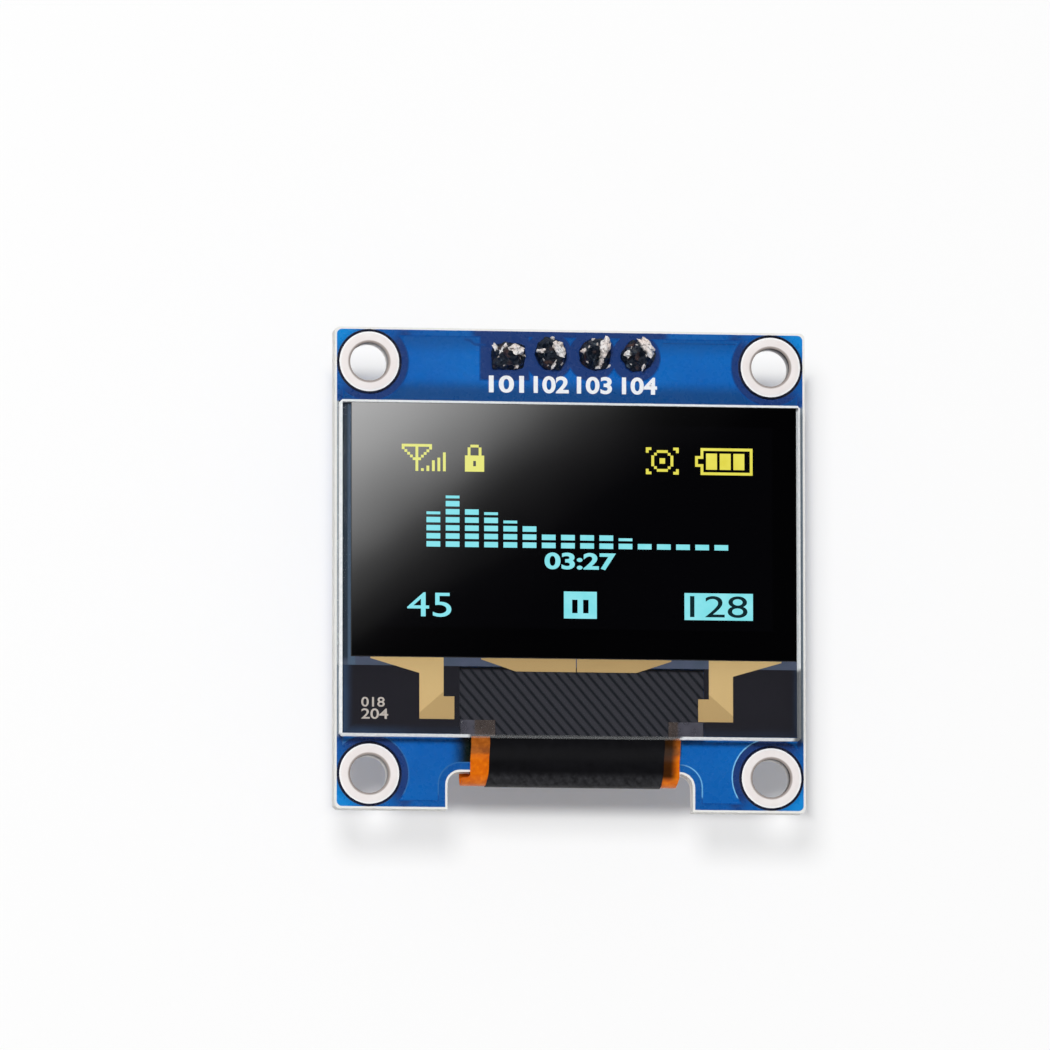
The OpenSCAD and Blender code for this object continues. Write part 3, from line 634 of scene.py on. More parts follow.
# %% Clear faces and ground rim
clear = Finish("clear_glass", Base_Color="20262e")
smear = cloud(clear.place(), 0.5, 3.0)
clear.set(Alpha=smear * 0.03 + 0.02, Roughness=smear * 0.05 + 0.04)
ground = Finish("ground_glass_rim", Roughness=0.5)
point = ground.place()
x, y, _ = axes(point)
chips = cloud(point, 5.0, 5.0)
bare_side = ease(x, 12.6, 12.9) * ease(y, -5.6, -5.9)
over_cable = ease(abs(x - 0.1), 6.3, 6.0) * ease(y, -9.0, -9.4)
tone = mix((chips * 1.6 - 0.3).clamp(), "dfe6ea", "ffffff")
ground.set(Base_Color=mix(bare_side * 0.85, tone, "33393f"), Alpha=1 - over_cable * 0.92)
ground.set(Normal=bump(chips, 0.04))
print("glass in two finishes")


# %% Slabs with chamfered rims
def slab(name, node, faces, edge, rim, shift=(0, 0, 0)):
    """A slab in the place of a node, with its low corner shifted."""
    shape = bmesh.new()
    block(shape, Span(node).low + Vector(shift), Span(node).high, rim, segments=1)
    shape.normal_update()
    for face in shape.faces:
        face.material_index = int(abs(face.normal.z) <= 0.95)
    return settle(name, shape, [faces, edge], node, smooth_below=20)


slab("front_sheet", "front_glass", clear, ground, 0.15, shift=(0, -0.13, 0.012))

# %% [markdown]
# ## The glossy film
#
# A black film covers the lit part of the glass. It is smooth like a mirror, and what
# makes it look real is what it reflects: a studio lamp's soft edge that fades across it.
# That edge comes from a card above the module, further on. The film itself gets a black
# body, a trace of waviness and a slightly lighter window where the lit layer lies.

# %% Black film
mirror = Finish("black_gloss_film")
point = mirror.place()
x, y, _ = axes(point)
waves = cloud(point, 0.12, 1.0)
window = ease(abs(x - 0.1), 11.42, 11.36) * ease(abs(y - 2.3), 5.92, 5.86)
mirror.set(Base_Color=mix(window, "030304", "050507"))
mirror.set(Roughness=waves * 0.03 + 0.02, Normal=bump(waves, 0.01))
slab("dark_film", "polarizer", mirror, mirror, 0.03).visible_shadow = False

# %% [markdown]
# ## Behind the ledge
#
# Below the film the front glass is bare, and through it show gold-coloured contacts, the
# head of the cable and a black film. The cured glue at its rim lets some light through,
# and that light is painted into the film's colour: the black turns slate blue towards the
# left and lower edge.

# %% Black backing with a slate edge
backing = Finish("ledge_backing", Roughness=0.45, Specular_IOR_Level=0.2)
point = backing.place()
x, y, _ = axes(point)
near_left = ease(x, ledge.low.x, ledge.low.x + 0.8, 1, 0)
near_right = ease(x, ledge.high.x - 0.4, ledge.high.x, 0, 0.3)
near_foot = ease(y, ledge.low.y, ledge.low.y + 0.6, 0.6, 0) * ease(x, -8.0, -12.5, 0.3, 1.0)
haze = cloud(point, 0.8, 3.0)
# painted glow of light let in at the rim: slate blue towards the left, lower and right edges
edge = (near_left.most(near_foot).most(near_right) * (haze * 0.6 + 0.6)).clamp()
hem = ease(x, ledge.low.x + 0.2, ledge.low.x + 0.1)
backing.set(Base_Color=mix(hem, mix(edge, "242329", "3a4f6c"), "0d1722"))
backing.set(Normal=bump(haze, 0.01))
dress(backing, "ledge_film")

slate = Finish("slate_glue")
point = slate.place()
x, y, _ = axes(point)
haze = cloud(point, 0.9, 3.0)
beside_film = ease(x, -12.5, -12.9) * ease(y, -5.6, -5.2)
tone = mix(beside_film, mix(haze, "41525f", "616681"), mix(haze, "27383f", "3b4254"))
tone = mix(ease(x, -13.02, -12.94) * ease(x, -12.5, -12.6), tone, "566b82")
slate.set(Base_Color=mix(ease(x, -13.24, -13.32), tone, "102033"), Roughness=haze * 0.2 + 0.3)
dress(slate, "edge_seal")
print("ledge backing and seal")

# %% Contacts
gold = Finish("gold_contact", Metallic=0.15)
brushed = cloud(gold.place(stretch=(1, 9, 1)), 5.0, 3.0)
x, y, _ = axes(gold.place())
# darker past a diagonal line across each foot
past_diagonal = ease(y + 8.43 - (9.08 - abs(x - cable_x)) * 0.88, 0.05, -0.05)
gold.set(Base_Color=mix(past_diagonal * 0.6, mix(brushed, "e6c180", "f1d297"), "bd9c68"))
gold.set(Roughness=brushed * 0.25 + 0.3, Normal=bump(brushed, 0.006))
dress(gold, "electrode_left", "electrode_right", "electrode_centre")
print("gold with a darker fold line")

# %% [markdown]
# ## Layers that mostly hide
#
# Between the glasses and behind them lie thin layers of which only a rim shows: the lit
# layer, a drying sheet, the rear glass and the tape that holds the display on the board.

# %% Rear glass, tape and inner sheets
dress(clouded("rear_glass", "7c8c97", "c3ced6", 1.5, 4.0, rough=(0.15, 0.2)), "rear_glass")
dress(clouded("drying_sheet", "cfcfc8", "e6e6e0", 18.0, 4.0, depth=0.01, Roughness=0.9), "moisture_getter")
dress(clouded("lit_layer", "1b1d22", "2b2e35", 3.0, 2.0, Metallic=0.6, Roughness=0.3), "emitter_layer")
tape = Finish("foam_tape", Roughness=0.85)
cells = tape.node("ShaderNodeTexVoronoi", None, {"Vector": tape.place(), "Scale": 12.0})
tape.set(Base_Color=mix(cells, "d8d6cf", "f0eee8"), Normal=bump(cells, 0.02))
dress(tape, "tape_pad")
print("inner layers dressed")

# %% [markdown]
# ## The flexible cable
#
# The cable is a thin orange film with copper tracks and a black cover film. It leaves
# the ledge, dips to the board, folds round its edge and spreads out into a row of
# contacts on the back. Both films are drawn flat, as they are cut: a few corner points
# make the outline, vertex bevels round it, and cuts across it let it bend. Then every
# point is laid along the route. The flat place stays with the mesh as a UV map, so
# tracks and ribs follow the bends.

# %% The route of the cable's inner side
HEAD_H, SLOPE_RUN, LAND = 3.95, 1.8, 0.2
BASE_T, COVER_T, FOLD_GAP = 0.10, 0.05, 0.06
head_z = glue.low.z - BASE_T - COVER_T
fold_r = board.size.z / 2 + FOLD_GAP
slope = 2 * math.atan((head_z - board.middle.z - fold_r) / SLOPE_RUN)
slope_r = SLOPE_RUN / (2 * math.sin(slope))
fold_y = glass.low.y - SLOPE_RUN - LAND
route = [(HEAD_H, 0), (slope_r * slope, slope), (slope_r * slope, -slope), (LAND, 0), (math.pi * fold_r, math.pi),
         (Span("flex_solder").low.y - fold_y, 0)]
marks = [0.0]
for run, _ in route:
    marks.append(marks[-1] + run)
_, u_edge, u_slope, u_land, u_fold, u_back, u_end = marks
print("cable is", round(u_end, 2), "mm long when flat; fold from", round(u_fold, 2), "to", round(u_back, 2))


# %% Laying a point along the route
def along_route(u):
    """Place (y, z) and heading of the inner side after a run of u."""
    y, z, heading = glass.low.y + HEAD_H, head_z, math.pi
    for run, bend in route:
        step = max(0.0, min(u, run))
        if bend:
            new = heading + bend * step / run
            y += (math.sin(new) - math.sin(heading)) * run / bend
            z -= (math.cos(new) - math.cos(heading)) * run / bend
            heading = new
        else:
            y, z = y + step * math.cos(heading), z + step * math.sin(heading)
        u -= run
    return y, z, heading


def lay(shape):
    """Moves points (x, u, height over the inner side) to their place on the bent cable."""
    for v in shape.verts:
        x, u, h = v.co
        y, z, heading = along_route(u)
        v.co = (x, y + h * math.sin(heading), z - h * math.cos(heading))


print("the cable ends at", [round(c, 2) for c in along_route(u_end)[:2]])


# %% Cutting a film to its outline
def cable_film(name, node, finish, outline, rounded, low, high):
    """Cuts a film with some rounded corners, thickens it between two heights and bends it."""
    shape = bmesh.new()
    corners = [shape.verts.new((x, u, low)) for x, u in outline]
    shape.faces.new(corners)
    for index, radius in rounded:
        bmesh.ops.bevel(shape, geom=[corners[index]], affect="VERTICES", offset=radius, segments=6, profile=0.5,
                        material=-1)
    cuts = marks[1:-1]
    for start, end, count in ((u_edge, u_slope, 10), (u_slope, u_land, 10), (u_fold, u_back, 40)):
        cuts += [start + (end - start) * i / count for i in range(1, count)]
    for u in cuts:
        cut(shape, (0, u, 0), (0, 1, 0))
    bmesh.ops.triangulate(shape, faces=[f for f in shape.faces if len(f.verts) > 4])
    thicken(shape, high - low)
    flat = shape.loops.layers.uv.new("flat")
    for face in shape.faces:
        for loop in face.loops:
            loop[flat].uv = loop.vert.co.xy
    lay(shape)
    settle(name, shape, [finish], node)


NECK, FOOT, TAIL_HALF = 12.12, 0.47, 9.56
left, right_x = cable_x - NECK / 2, cable_x + NECK / 2
tail_left, tail_right = cable_x - TAIL_HALF, cable_x + TAIL_HALF
print("the neck of the cable lies between x =", round(left, 2), "and", round(right_x, 2))

# %% Orange base film
amber = Finish("orange_base_film", Specular_IOR_Level=0.25)
u = axes(amber.node("ShaderNodeUVMap", {"uv_map": "flat"}))[1]
haze, blotch = cloud(amber.place(), 1.3, 4.0), cloud(amber.place(), 3.2, 3.0, warp=0.4)
# painted shade: the darker orange of the strips' upper part, nearer the glass
shaded_orange = mix((blotch * 2.2 - 0.6).clamp(), "8c450a", "bf6a20")
bright_orange = mix((blotch * 2.0 - 0.5).clamp(), "cf5a00", "ee7e03")
tone = mix(ease(u, u_fold - 1.25, u_fold - 1.0), shaded_orange, bright_orange)
x = axes(amber.place())[0]
# painted shade on the right strip, above the fold and away from its right edge
shaded = ease(u, u_fold + 0.5, u_fold + 0.1) * ease(x, 4.0, 4.5) * ease(x, right_x, right_x - 0.55)
amber.set(Base_Color=mix(shaded * 0.95, tone, "1e1204"))
amber.set(Roughness=haze * 0.2 + 0.22, Normal=bump(haze, 0.02))
outline = [(glue.low.x, 0), (glue.high.x, 0), (glue.high.x, u_edge), (right_x, u_edge), (right_x, u_fold + 0.2),
           (right_x - 0.12, u_fold + 0.7), (right_x - 0.12, u_back + 0.8), (tail_right, u_back + 2.9),
           (tail_right, u_end), (tail_left, u_end), (tail_left, u_back + 2.9), (left - FOOT, u_back + 0.8),
           (left - FOOT, u_fold + 0.31), (left, u_fold + 0.31), (left, u_edge), (glue.low.x, u_edge)]
cable_film("orange_cable", "flex_cable", amber, outline,
           [(2, 0.15), (3, 0.12), (12, 0.12), (13, 0.2), (15, 0.15), (6, 0.5), (11, 0.5)], 0.0, BASE_T)

# %% Black cover film
cover = Finish("black_cover_film", Specular_IOR_Level=0.08)
x, u, _ = axes(cover.node("ShaderNodeUVMap", {"uv_map": "flat"}))
ribbed = ease(u, u_edge - 0.02, u_edge - 0.12) * ease(u, 0.05, 0.2)
slant = (x * 0.7547 - u * 0.656) / 0.4528
rib = ease(abs((slant * math.pi).wave()), 0.1, 0.85)
tracks = (x * 20.0).wave() * 0.5 + 0.5
cloth = cloud(cover.place(), 2.0, 4.0)
# painted sheen: a lighter band on the fold, broken into patches
folded = ease(u, u_land + 0.1, u_fold + 0.3) * ease(u, u_back + 0.4, u_back)
sheen_patches = (cloud(cover.place(), 3.6, 4.0, warp=0.5) * 2.4 - 0.7).clamp()
plain = mix(folded * (sheen_patches * 0.8 + 0.25 * rib), mix(cloth, "0a0a0c", "151518"), "323235")
cover.set(Base_Color=mix(ribbed, plain, mix(rib, "1b1e23", "3a3a40")), Roughness=cloth * 0.25 + 0.28)
cover.set(Normal=bump(rib * ribbed * 3.0 + tracks * (1 - ribbed) * 0.2 + cloth * 0.8, 0.012))
cover_left, cover_right, drift = left + 1.08, right_x - 0.92, 0.14
shell = [(glue.low.x - 0.05, 0), (glue.high.x + 0.05, 0), (glue.high.x + 0.05, u_edge), (cover_right, u_edge),
         (cover_right, u_land), (cover_right - drift, u_fold + 0.9), (cover_right - drift, u_back + 0.8),
         (tail_right - 0.4, u_back + 2.9), (tail_right - 0.4, u_end - 1.2), (tail_left + 0.4, u_end - 1.2),
         (tail_left + 0.4, u_back + 2.9), (cover_left - drift, u_back + 0.8), (cover_left - drift, u_fold + 0.6),
         (cover_left, u_fold), (cover_left, u_edge), (glue.low.x - 0.05, u_edge)]
cable_film("black_cover", "flex_coverlay", cover, shell, [(12, 0.3), (13, 0.3)], BASE_T,
           BASE_T + COVER_T)

# %% Glue patches and chip
patch = Finish("clear_glue", Roughness=0.35)
point = patch.place()
x = axes(point)[0]
haze = cloud(point, 1.6, 4.0)
warm = ease(x, left + 0.1, left + 0.25) * (1 - ease(x, right_x - 0.25, right_x - 0.1))
patch.set(Base_Color=mix(warm * 0.8, "5c5b66", "5e5148"))
patch.set(Alpha=(haze * 0.8 + 0.3).clamp(), Normal=bump(haze, 0.02))
dress(patch, "flex_bond")
dress(clouded("silicon_chip", "55585e", "70747c", 4.0, 2.0, (1, 6, 1), (0.15, 0.2), Metallic=0.3), "driver_chip")
print("glue and chip dressed")

# %% [markdown]
# ## Soldered pins
#
# Four square pins come through the board and are soldered by hand, so no two joints are
# alike: a dark cone with craggy drops of bright metal on it. The cone's dark tone is a
# painted reflection of dark surroundings, with painted glints, and the drops' near-white
# is a painted highlight. The cone is a spun profile whose points noise pushes about, with
# another seed for each joint. Every drop is a ball pushed about in the same way, then
# stretched and turned.

# %% Dark and bright solder
solder = Finish("bright_solder", Metallic=0.3)
point = solder.place()
lumps, grey_skin = cloud(point, 2.6, 3.0, warp=0.6), cloud(point, 1.3, 2.0)
pits = cloud(point, 4.4, 4.0, warp=0.5)
# near-white: on the joints' drops it is a painted highlight
skin = mix((grey_skin * 2.6 - 0.8).clamp(), "f3e4dc", "ffffff")
solder.set(Base_Color=mix((pits * 6.0 - 3.3).clamp(), skin, "4a3d38"))
solder.set(Roughness=grey_skin * 0.2 + 0.2, Normal=bump(lumps, 0.3))

dark_solder = Finish("solder_painted_dark_reflection", Metallic=0.6)
point = dark_solder.place()
lumps, reflection_patches = cloud(point, 2.2, 3.0, warp=0.6), cloud(point, 1.7, 3.0)
glints = cloud(dark_solder.place(centre=(3, 5, 0)), 2.9, 4.0, warp=0.5)
# painted reflection: dark navy and brown stand for dark surroundings mirrored in the solder
tone = mix((reflection_patches * 3.6 - 2.0).clamp(), "121c2a", "6b4a3a")
# painted glints
dark_solder.set(Base_Color=mix((glints * 5.0 - 3.1).clamp(), tone, "7f92a0"))
dark_solder.set(Roughness=reflection_patches * 0.3 + 0.1, Normal=bump(lumps, 0.15))
print("two kinds of solder")


# %% Drops of solder
def crag(shape, at, size, turn, seed, paint):
    """A craggy drop of solder: a ball pushed about by noise, stretched and turned."""
    old = set(shape.faces)
    made = bmesh.ops.create_icosphere(shape, subdivisions=3, radius=0.5)["verts"]
    for v in made:
        v.co *= 1 + noise.noise(v.co * 3.1 + seed) * 0.55 + noise.noise(v.co * 7.3 + seed) * 0.35
    place = (Matrix.Translation(at) @ Matrix.Rotation(math.radians(turn), 4, "Z")
             @ Matrix.Diagonal((*size, 1)))
    bmesh.ops.transform(shape, matrix=place, verts=made)
    for face in set(shape.faces) - old:
        face.material_index = paint


def cone_height(profile, radius):
    """Height of a joint's flank at a distance from its pin."""
    for (r_out, z_low), (r_in, z_high) in zip(profile[1:], profile[2:]):
        if r_in <= radius <= r_out and r_out > r_in:
            return z_low + (z_high - z_low) * (r_out - radius) / (r_out - r_in)
    return profile[1][1]


print("a drop is a ball that noise has pushed about")


# %% A whole joint
def rough_cone(profile, low, corners, seed):
    """A spun cone that noise pushes about, and that corners (0 to 1) make square."""
    shape = bmesh.new()
    spun(shape, profile, 20)
    bmesh.ops.remove_doubles(shape, verts=shape.verts, dist=1e-4)
    bmesh.ops.subdivide_edges(shape, edges=shape.edges[:], cuts=2, use_grid_fill=True)
    bmesh.ops.smooth_vert(shape, verts=shape.verts, factor=0.5, use_axis_x=True, use_axis_y=True, use_axis_z=True)
    for v in shape.verts:
        flat = Vector((v.co.x, v.co.y, 0))
        if flat.length < 1e-4:
            continue
        rise = max(0.0, min(1.0, (v.co.z - low) / 0.25))
        push = noise.noise(v.co * 1.7 + seed) * 0.3 + noise.noise(v.co * 4.1 + seed) * 0.12
        aside = flat.normalized()
        squared = corners * (1 / max(abs(aside.x), abs(aside.y)) - 1)
        v.co += aside * (flat.length * squared + push * rise * min(1.0, flat.length / 0.3))
        if corners:
            v.co.x, v.co.y = v.co.x * 1.08 + 0.06, v.co.y * 0.86 - 0.04
        v.co.z += noise.noise(v.co * 2.3 + seed) * 0.25 * rise
    return shape


def joint(number, corners, drops):
    """A dark cone, squared by corners, with bright drops (x, y, long, wide, turn, tip) on it."""
    pin, cone = Span(f"header_pin_{number}"), Span(f"solder_joint_{number}")
    low, high, foot = copper.high.z - 0.01, cone.high.z, 0.93
    profile = [(0.0, low), (foot, low), (foot, low + 0.12), (foot * 0.86, low + 0.4), (foot * 0.66, low + 0.7),
               (0.5, high), (0.3, high + 0.2), (0.0, high + 0.28)]
    seed = Vector((number * 7.3, number * 3.1, 0))
    shape = rough_cone(profile, low, corners, seed)
    for index, (x, y, long, wide, turn, tip) in enumerate(drops):
        top = pin.high.z - 0.12 if tip else cone_height(profile, math.hypot(x, y)) + 0.06
        deep = 0.75 if tip else 0.34
        crag(shape, (x, y, top - deep / 2), (long, wide, deep), turn, seed + Vector((0, 0, 3.3 * index)), 1)
    for index in range(8):
        angle, far = index * 2.4 + number, 0.3 + 0.55 * ((index * 0.37 + number * 0.21) % 1)
        at = (far * math.cos(angle), far * math.sin(angle), cone_height(profile, far) + 0.03)
        crag(shape, at, (0.17, 0.08, 0.14), math.degrees(angle * 3), seed * 2, 1)
    for v in shape.verts:
        v.co.z = min(v.co.z, pin.high.z)
    aside = (pin.middle.x + 0.15, pin.middle.y + (0.0 if corners else 0.13), 0)
    bmesh.ops.translate(shape, vec=aside, verts=shape.verts)
    settle(f"solder_lump_{number}", shape, [dark_solder, solder], f"solder_joint_{number}", smooth_below=50)


# %% Four joints, their drops listed one by one
joint(1, 0.55, [(-0.68, 0.33, 0.72, 0.26, -62, 0), (-0.32, 0.32, 0.66, 0.2, 55, 0), (0.38, 0.2, 0.85, 0.55, -15, 1),
                (0.86, 0.06, 0.4, 0.24, -38, 0), (0.54, -0.46, 0.72, 0.28, 68, 0), (-0.66, -0.52, 0.4, 0.24, -50, 0)])
joint(2, 0.0, [(0.08, 0.9, 0.24, 0.24, 0, 0), (0.34, 0.2, 0.95, 0.6, -58, 1), (-0.6, 0.12, 0.62, 0.24, 6, 0),
               (0.14, -0.6, 0.72, 0.2, 60, 0), (0.46, -0.58, 0.42, 0.24, 35, 0)])
joint(3, 0.0, [(-0.1, 0.8, 0.24, 0.24, 0, 0), (0.46, 0.34, 1.05, 0.6, 75, 1), (-0.6, 0.12, 0.56, 0.38, -20, 0),
               (0.28, -0.42, 0.6, 0.24, 80, 0), (0.1, -0.76, 0.46, 0.18, 5, 0), (0.72, -0.66, 0.44, 0.32, 20, 0)])
joint(4, 0.0, [(0.34, 0.36, 1.2, 0.52, -55, 1), (-0.6, 0.07, 0.56, 0.38, 15, 0), (0.24, -0.52, 0.75, 0.26, 78, 0),
               (-0.1, -0.3, 0.22, 0.18, 0, 0)])

# %% Square pins
TIP_H, TIP_SHARE = 0.5, 0.55
gilt = clouded("gilt_pin", "dcc682", "ead79c", 3.0, 3.0, (8, 8, 0.6), (0.25, 0.15), Metallic=0.35)
for number in range(1, 5):
    pin = Span(f"header_pin_{number}")
    shape = bmesh.new()
    block(shape, pin.low, (pin.high.x, pin.high.y, copper.high.z + 0.55), 0.04)
    cut(shape, (0, 0, pin.low.z + TIP_H), (0, 0, 1))
    for v in shape.verts:
        if v.co.z < pin.low.z + 0.2:
            v.co.xy = pin.middle.xy + (v.co.xy - pin.middle.xy) * TIP_SHARE
    settle(f"square_pin_{number}", shape, [gilt], f"header_pin_{number}", smooth_below=30)


# %% Moulded header and small parts
def moulded(name, dark, light, grain_depth=0.015):
    finish = Finish(name)
    grain, broad = cloud(finish.place(), 14.0, 3.0), cloud(finish.place(), 1.0, 2.0)
    finish.set(Base_Color=mix(broad, dark, light))
    finish.set(Roughness=grain * 0.2 + 0.4, Normal=bump(grain, grain_depth))
    return finish


dress(moulded("header_plastic", "131315", "1e1e21"), "header_body")
epoxy = moulded("epoxy_body", "17171a", "222226")
ceramic = moulded("fired_ceramic", "a98d66", "c4a982", 0.01)
alumina = moulded("white_alumina", "d2d0c9", "e9e7e1", 0.006)
glaze = moulded("resistor_glaze", "1b1b1f", "2a2a2f", 0.006)
dress(epoxy, "regulator")
print("moulded and fired bodies")

# %% [markdown]
# ## Chip parts
#
# Capacitors, resistors and the diode are made alike: a body between two metal caps that
# stand a little proud of it. The caps are dipped, so their edges are round, while the
# body's are crisp. Solder climbs each cap in a hollow fillet.

# %% Chip parts and their solder
CAP_L, PROUD, FILLET = 0.3, 0.02, 0.26
capacitors = [f"capacitor_{n}" for n in range(1, 7)]
resistors = [f"resistor_{n}" for n in range(1, 6)]


def chip_part(name, node, body, glazed=None):
    low, high = Span(node).low, Span(node).high
    shape = bmesh.new()
    block(shape, low + Vector((PROUD, 0.1, PROUD)), high - Vector((PROUD, 0.1, PROUD)), 0.02)
    block(shape, low, (high.x, low.y + CAP_L, high.z), 0.06, paint=1)
    block(shape, (low.x, high.y - CAP_L, low.z), high, 0.06, paint=1)
    if glazed:
        block(shape, low + Vector((0.06, CAP_L + 0.02, 0.005)),
              (high.x - 0.06, high.y - CAP_L - 0.02, low.z + 0.06), 0.01, paint=2)
    settle(name, shape, [body, solder] + [glazed] * bool(glazed), node, smooth_below=40)


def fillet(left, right, wall, out, z, lift):
    """Solder that climbs a wall at y = wall, on the back, and thins outwards."""
    shape = bmesh.new()
    block(shape, (left, min(wall, wall + out), z - lift), (right, max(wall, wall + out), z))
    for part in (0.25, 0.5, 0.75):
        cut(shape, (0, wall + out * part, 0), (0, 1, 0))
    for v in shape.verts:
        if v.co.z < z - 1e-4:
            v.co.z = z - 0.02 - (lift - 0.02) * (1 - (v.co.y - wall) / out) ** 2
    return shape


for node in capacitors:
    chip_part(node.replace("capacitor", "ceramic_block"), node, ceramic)
for node in resistors:
    chip_part(node.replace("resistor", "film_resistor"), node, alumina, glaze)
chip_part("rectifier", "diode", epoxy)
fillets = bmesh.new()
for node in (*capacitors, *resistors, "diode"):
    chip = Span(node)
    for wall, out in ((chip.low.y, -FILLET), (chip.high.y, FILLET)):
        pour(fillet(chip.low.x + 0.06, chip.high.x - 0.06, wall, out, chip.high.z, chip.size.z * 0.6), fillets)
settle("cap_fillets", fillets, [solder], smooth_below=60)

# %% Beads along the tail
CONTACTS, CONTACT_W = 30, 0.34
beads = Span("flex_solder")
pitch = (Span("flex_pads").size.x - CONTACT_W) / (CONTACTS - 1)
shape = bmesh.new()
for index in range(CONTACTS):
    at = (beads.low.x + CONTACT_W / 2 + index * pitch, beads.middle.y, beads.high.z - 0.02)
    crag(shape, at, (0.4, beads.size.y * 1.05, 0.3), 0, Vector((index * 1.7, 0, 0)), 0)
for v in shape.verts:
    v.co.z = max(v.co.z, beads.low.z)
settle("tail_beads", shape, [solder], "flex_solder", smooth_below=60)

# %% [markdown]
# ## Tracks, covered vias and white outlines
#
# The back of such a board is a field of copper with tracks cut out of it: the lacquer
# sinks a little into the cuts, so every track shows as a ridge between two darker lines.
# Each track is drawn twice along the same corners, once wide and dark, once narrow and
# blue on top of it. White outlines and numbers are printed round the parts.

# %% Strips along corners
def strip(shape, corners, width, low, high):
    """A flat strip along corners. Crossing parts differ a hair in height, so none lie in one plane."""
    for count, (one, other) in enumerate(zip(corners, corners[1:])):
        a, b = Vector(one), Vector(other)
        run, hair = (b - a).length, 0.0012 * (1 + count % 2)
        place = (Matrix.Translation((*(a + b) / 2, (low + high) / 2))
                 @ Matrix.Rotation(math.atan2(b.y - a.y, b.x - a.x), 4, "Z")
                 @ Matrix.Diagonal((run, width, high - low + hair, 1)))
        bmesh.ops.create_cube(shape, size=1, matrix=place)
    for x, y in corners:
        bmesh.ops.create_cone(shape, cap_ends=True, segments=12, radius1=width / 2, radius2=width / 2,
                              depth=high - low, matrix=Matrix.Translation((x, y, (low + high) / 2)))


print("a strip is a row of blocks with a round end at every corner")

# %% Tracks and vias
UNDER, TRACK_END = -0.05, -2.95
VIAS = ((-10.6, 4.2), (-9.4, 7.6), (-0.1, 6.4), (8.9, 6.8), (10.3, 3.1), (-11.0, -4.4), (10.6, -3.2), (0.2, 0.7))
VIA_RIM = ((0.32, 0.0), (0.26, 0.014), (0.14, 0.014), (0.1, 0.004), (0.0, 0.004))
tracks = []
for node in capacitors:
    cap = Span(node)
    tracks.append([(cap.middle.x, cap.low.y - 0.2), (cap.middle.x, TRACK_END + 0.4), (cap.middle.x + 0.35, TRACK_END)])
for node, above in zip(resistors, capacitors):
    part, cap = Span(node), Span(above)
    tracks.append([(part.middle.x, part.low.y - 0.2), (cap.middle.x, cap.high.y + 0.2)])
for number, x in enumerate((-7.03, -2.43, 2.17, 5.39), start=1):
    to = Span(f"header_pin_{number}").middle.x
    tracks.append([(x, 3.3), (x, 8.2 - abs(to - x)), (to - 0.75, 8.2), (to - 0.75, 9.9), (to, 10.7), (to, 11.6)])
tracks.append([(8.15, 0.9), (8.15, 1.6), (5.39, 1.6)])
dark_cuts, ridges = bmesh.new(), bmesh.new()
for corners in tracks:
    strip(dark_cuts, corners, 0.62, UNDER - 0.003, UNDER + 0.001)
    strip(ridges, corners, 0.3, UNDER - 0.009, UNDER - 0.002)
for at in VIAS:
    spun(ridges, [(r, UNDER - z) for r, z in VIA_RIM], 20, at)
track_cut = lacquer("lacquer_in_the_cuts", "0a3a7c", "0f4489")
settle("track_cuts", dark_cuts, [track_cut])
settle("tracks_and_vias", ridges, [lacquer("lacquer_on_tracks", "0a60b8", "1570c8")], smooth_below=40)

# %% [markdown]
# ## Printed digits
#
# The pads are numbered in thick white print. Blender's own font, thickened with an
# offset, is turned into a mesh first, and then put in its place, so that the object can
# stay at the origin.

# %% Print
def words_mesh(words, bold=0.0):
    curve = bpy.data.curves.new("words", "FONT")
    curve.body, curve.offset = words, bold
    holder = linked("words", curve)
    mesh = bpy.data.meshes.new_from_object(holder.evaluated_get(bpy.context.evaluated_depsgraph_get()))
    bpy.data.objects.remove(holder)
    bpy.data.curves.remove(curve)
    return mesh


def lettering(shape, words, low, high, z, thick, bold, flip=False):
    """Adds words to a bmesh, fitted between two corners, from z up by thick."""
    mesh = words_mesh(words, bold)
    part = bmesh.new()
    part.from_mesh(mesh)
    bpy.data.meshes.remove(mesh)
    bmesh.ops.remove_doubles(part, verts=part.verts, dist=1e-5)
    xs, ys = [v.co.x for v in part.verts], [v.co.y for v in part.verts]
    across, upward = (high[0] - low[0]) / (max(xs) - min(xs)), (high[1] - low[1]) / (max(ys) - min(ys))
    for v in part.verts:
        over = (v.co.x - min(xs)) * across
        v.co = (high[0] - over if flip else low[0] + over, low[1] + (v.co.y - min(ys)) * upward, z)
    thicken(part, thick)
    bmesh.ops.recalc_face_normals(part, faces=part.faces)
    pour(part, shape)


print("font digits come as meshes with", len(words_mesh("01").vertices), "points")

# %% Pad numbers
ink = clouded("white_print", "e6e8ee", "ffffff", 6.0, 4.0, depth=0.01, Roughness=0.55)
shape = bmesh.new()
for number, x in enumerate((-3.71, -1.11, 1.40, 4.02), start=1):
    lettering(shape, f"10{number}", (x - 1.02, 10.2), (x + 1.02, 11.2), copper.high.z, 0.02, 0.03)
settle("pad_numbers", shape, [ink], outward=False)

# %% Print on the back
shape = bmesh.new()
for node in (*capacitors, *resistors, "diode"):
    x0, y0 = Span(node).low.xy - Vector((0.28, 0.5))
    x1, y1 = Span(node).high.xy + Vector((0.28, 0.5))
    strip(shape, [(x0, y0), (x0, y1), (x1, y1), (x1, y0), (x0, y0)], 0.12, UNDER - 0.016, UNDER - 0.001)
for number in range(1, 5):
    x, half = Span(f"header_pin_{number}").middle.x, 0.1 if number == 1 else 0.3
    lettering(shape, str(number), (x - half, 8.7), (x + half, 9.6), UNDER - 0.016, 0.014, 0.03, flip=True)
settle("back_print", shape, [ink])

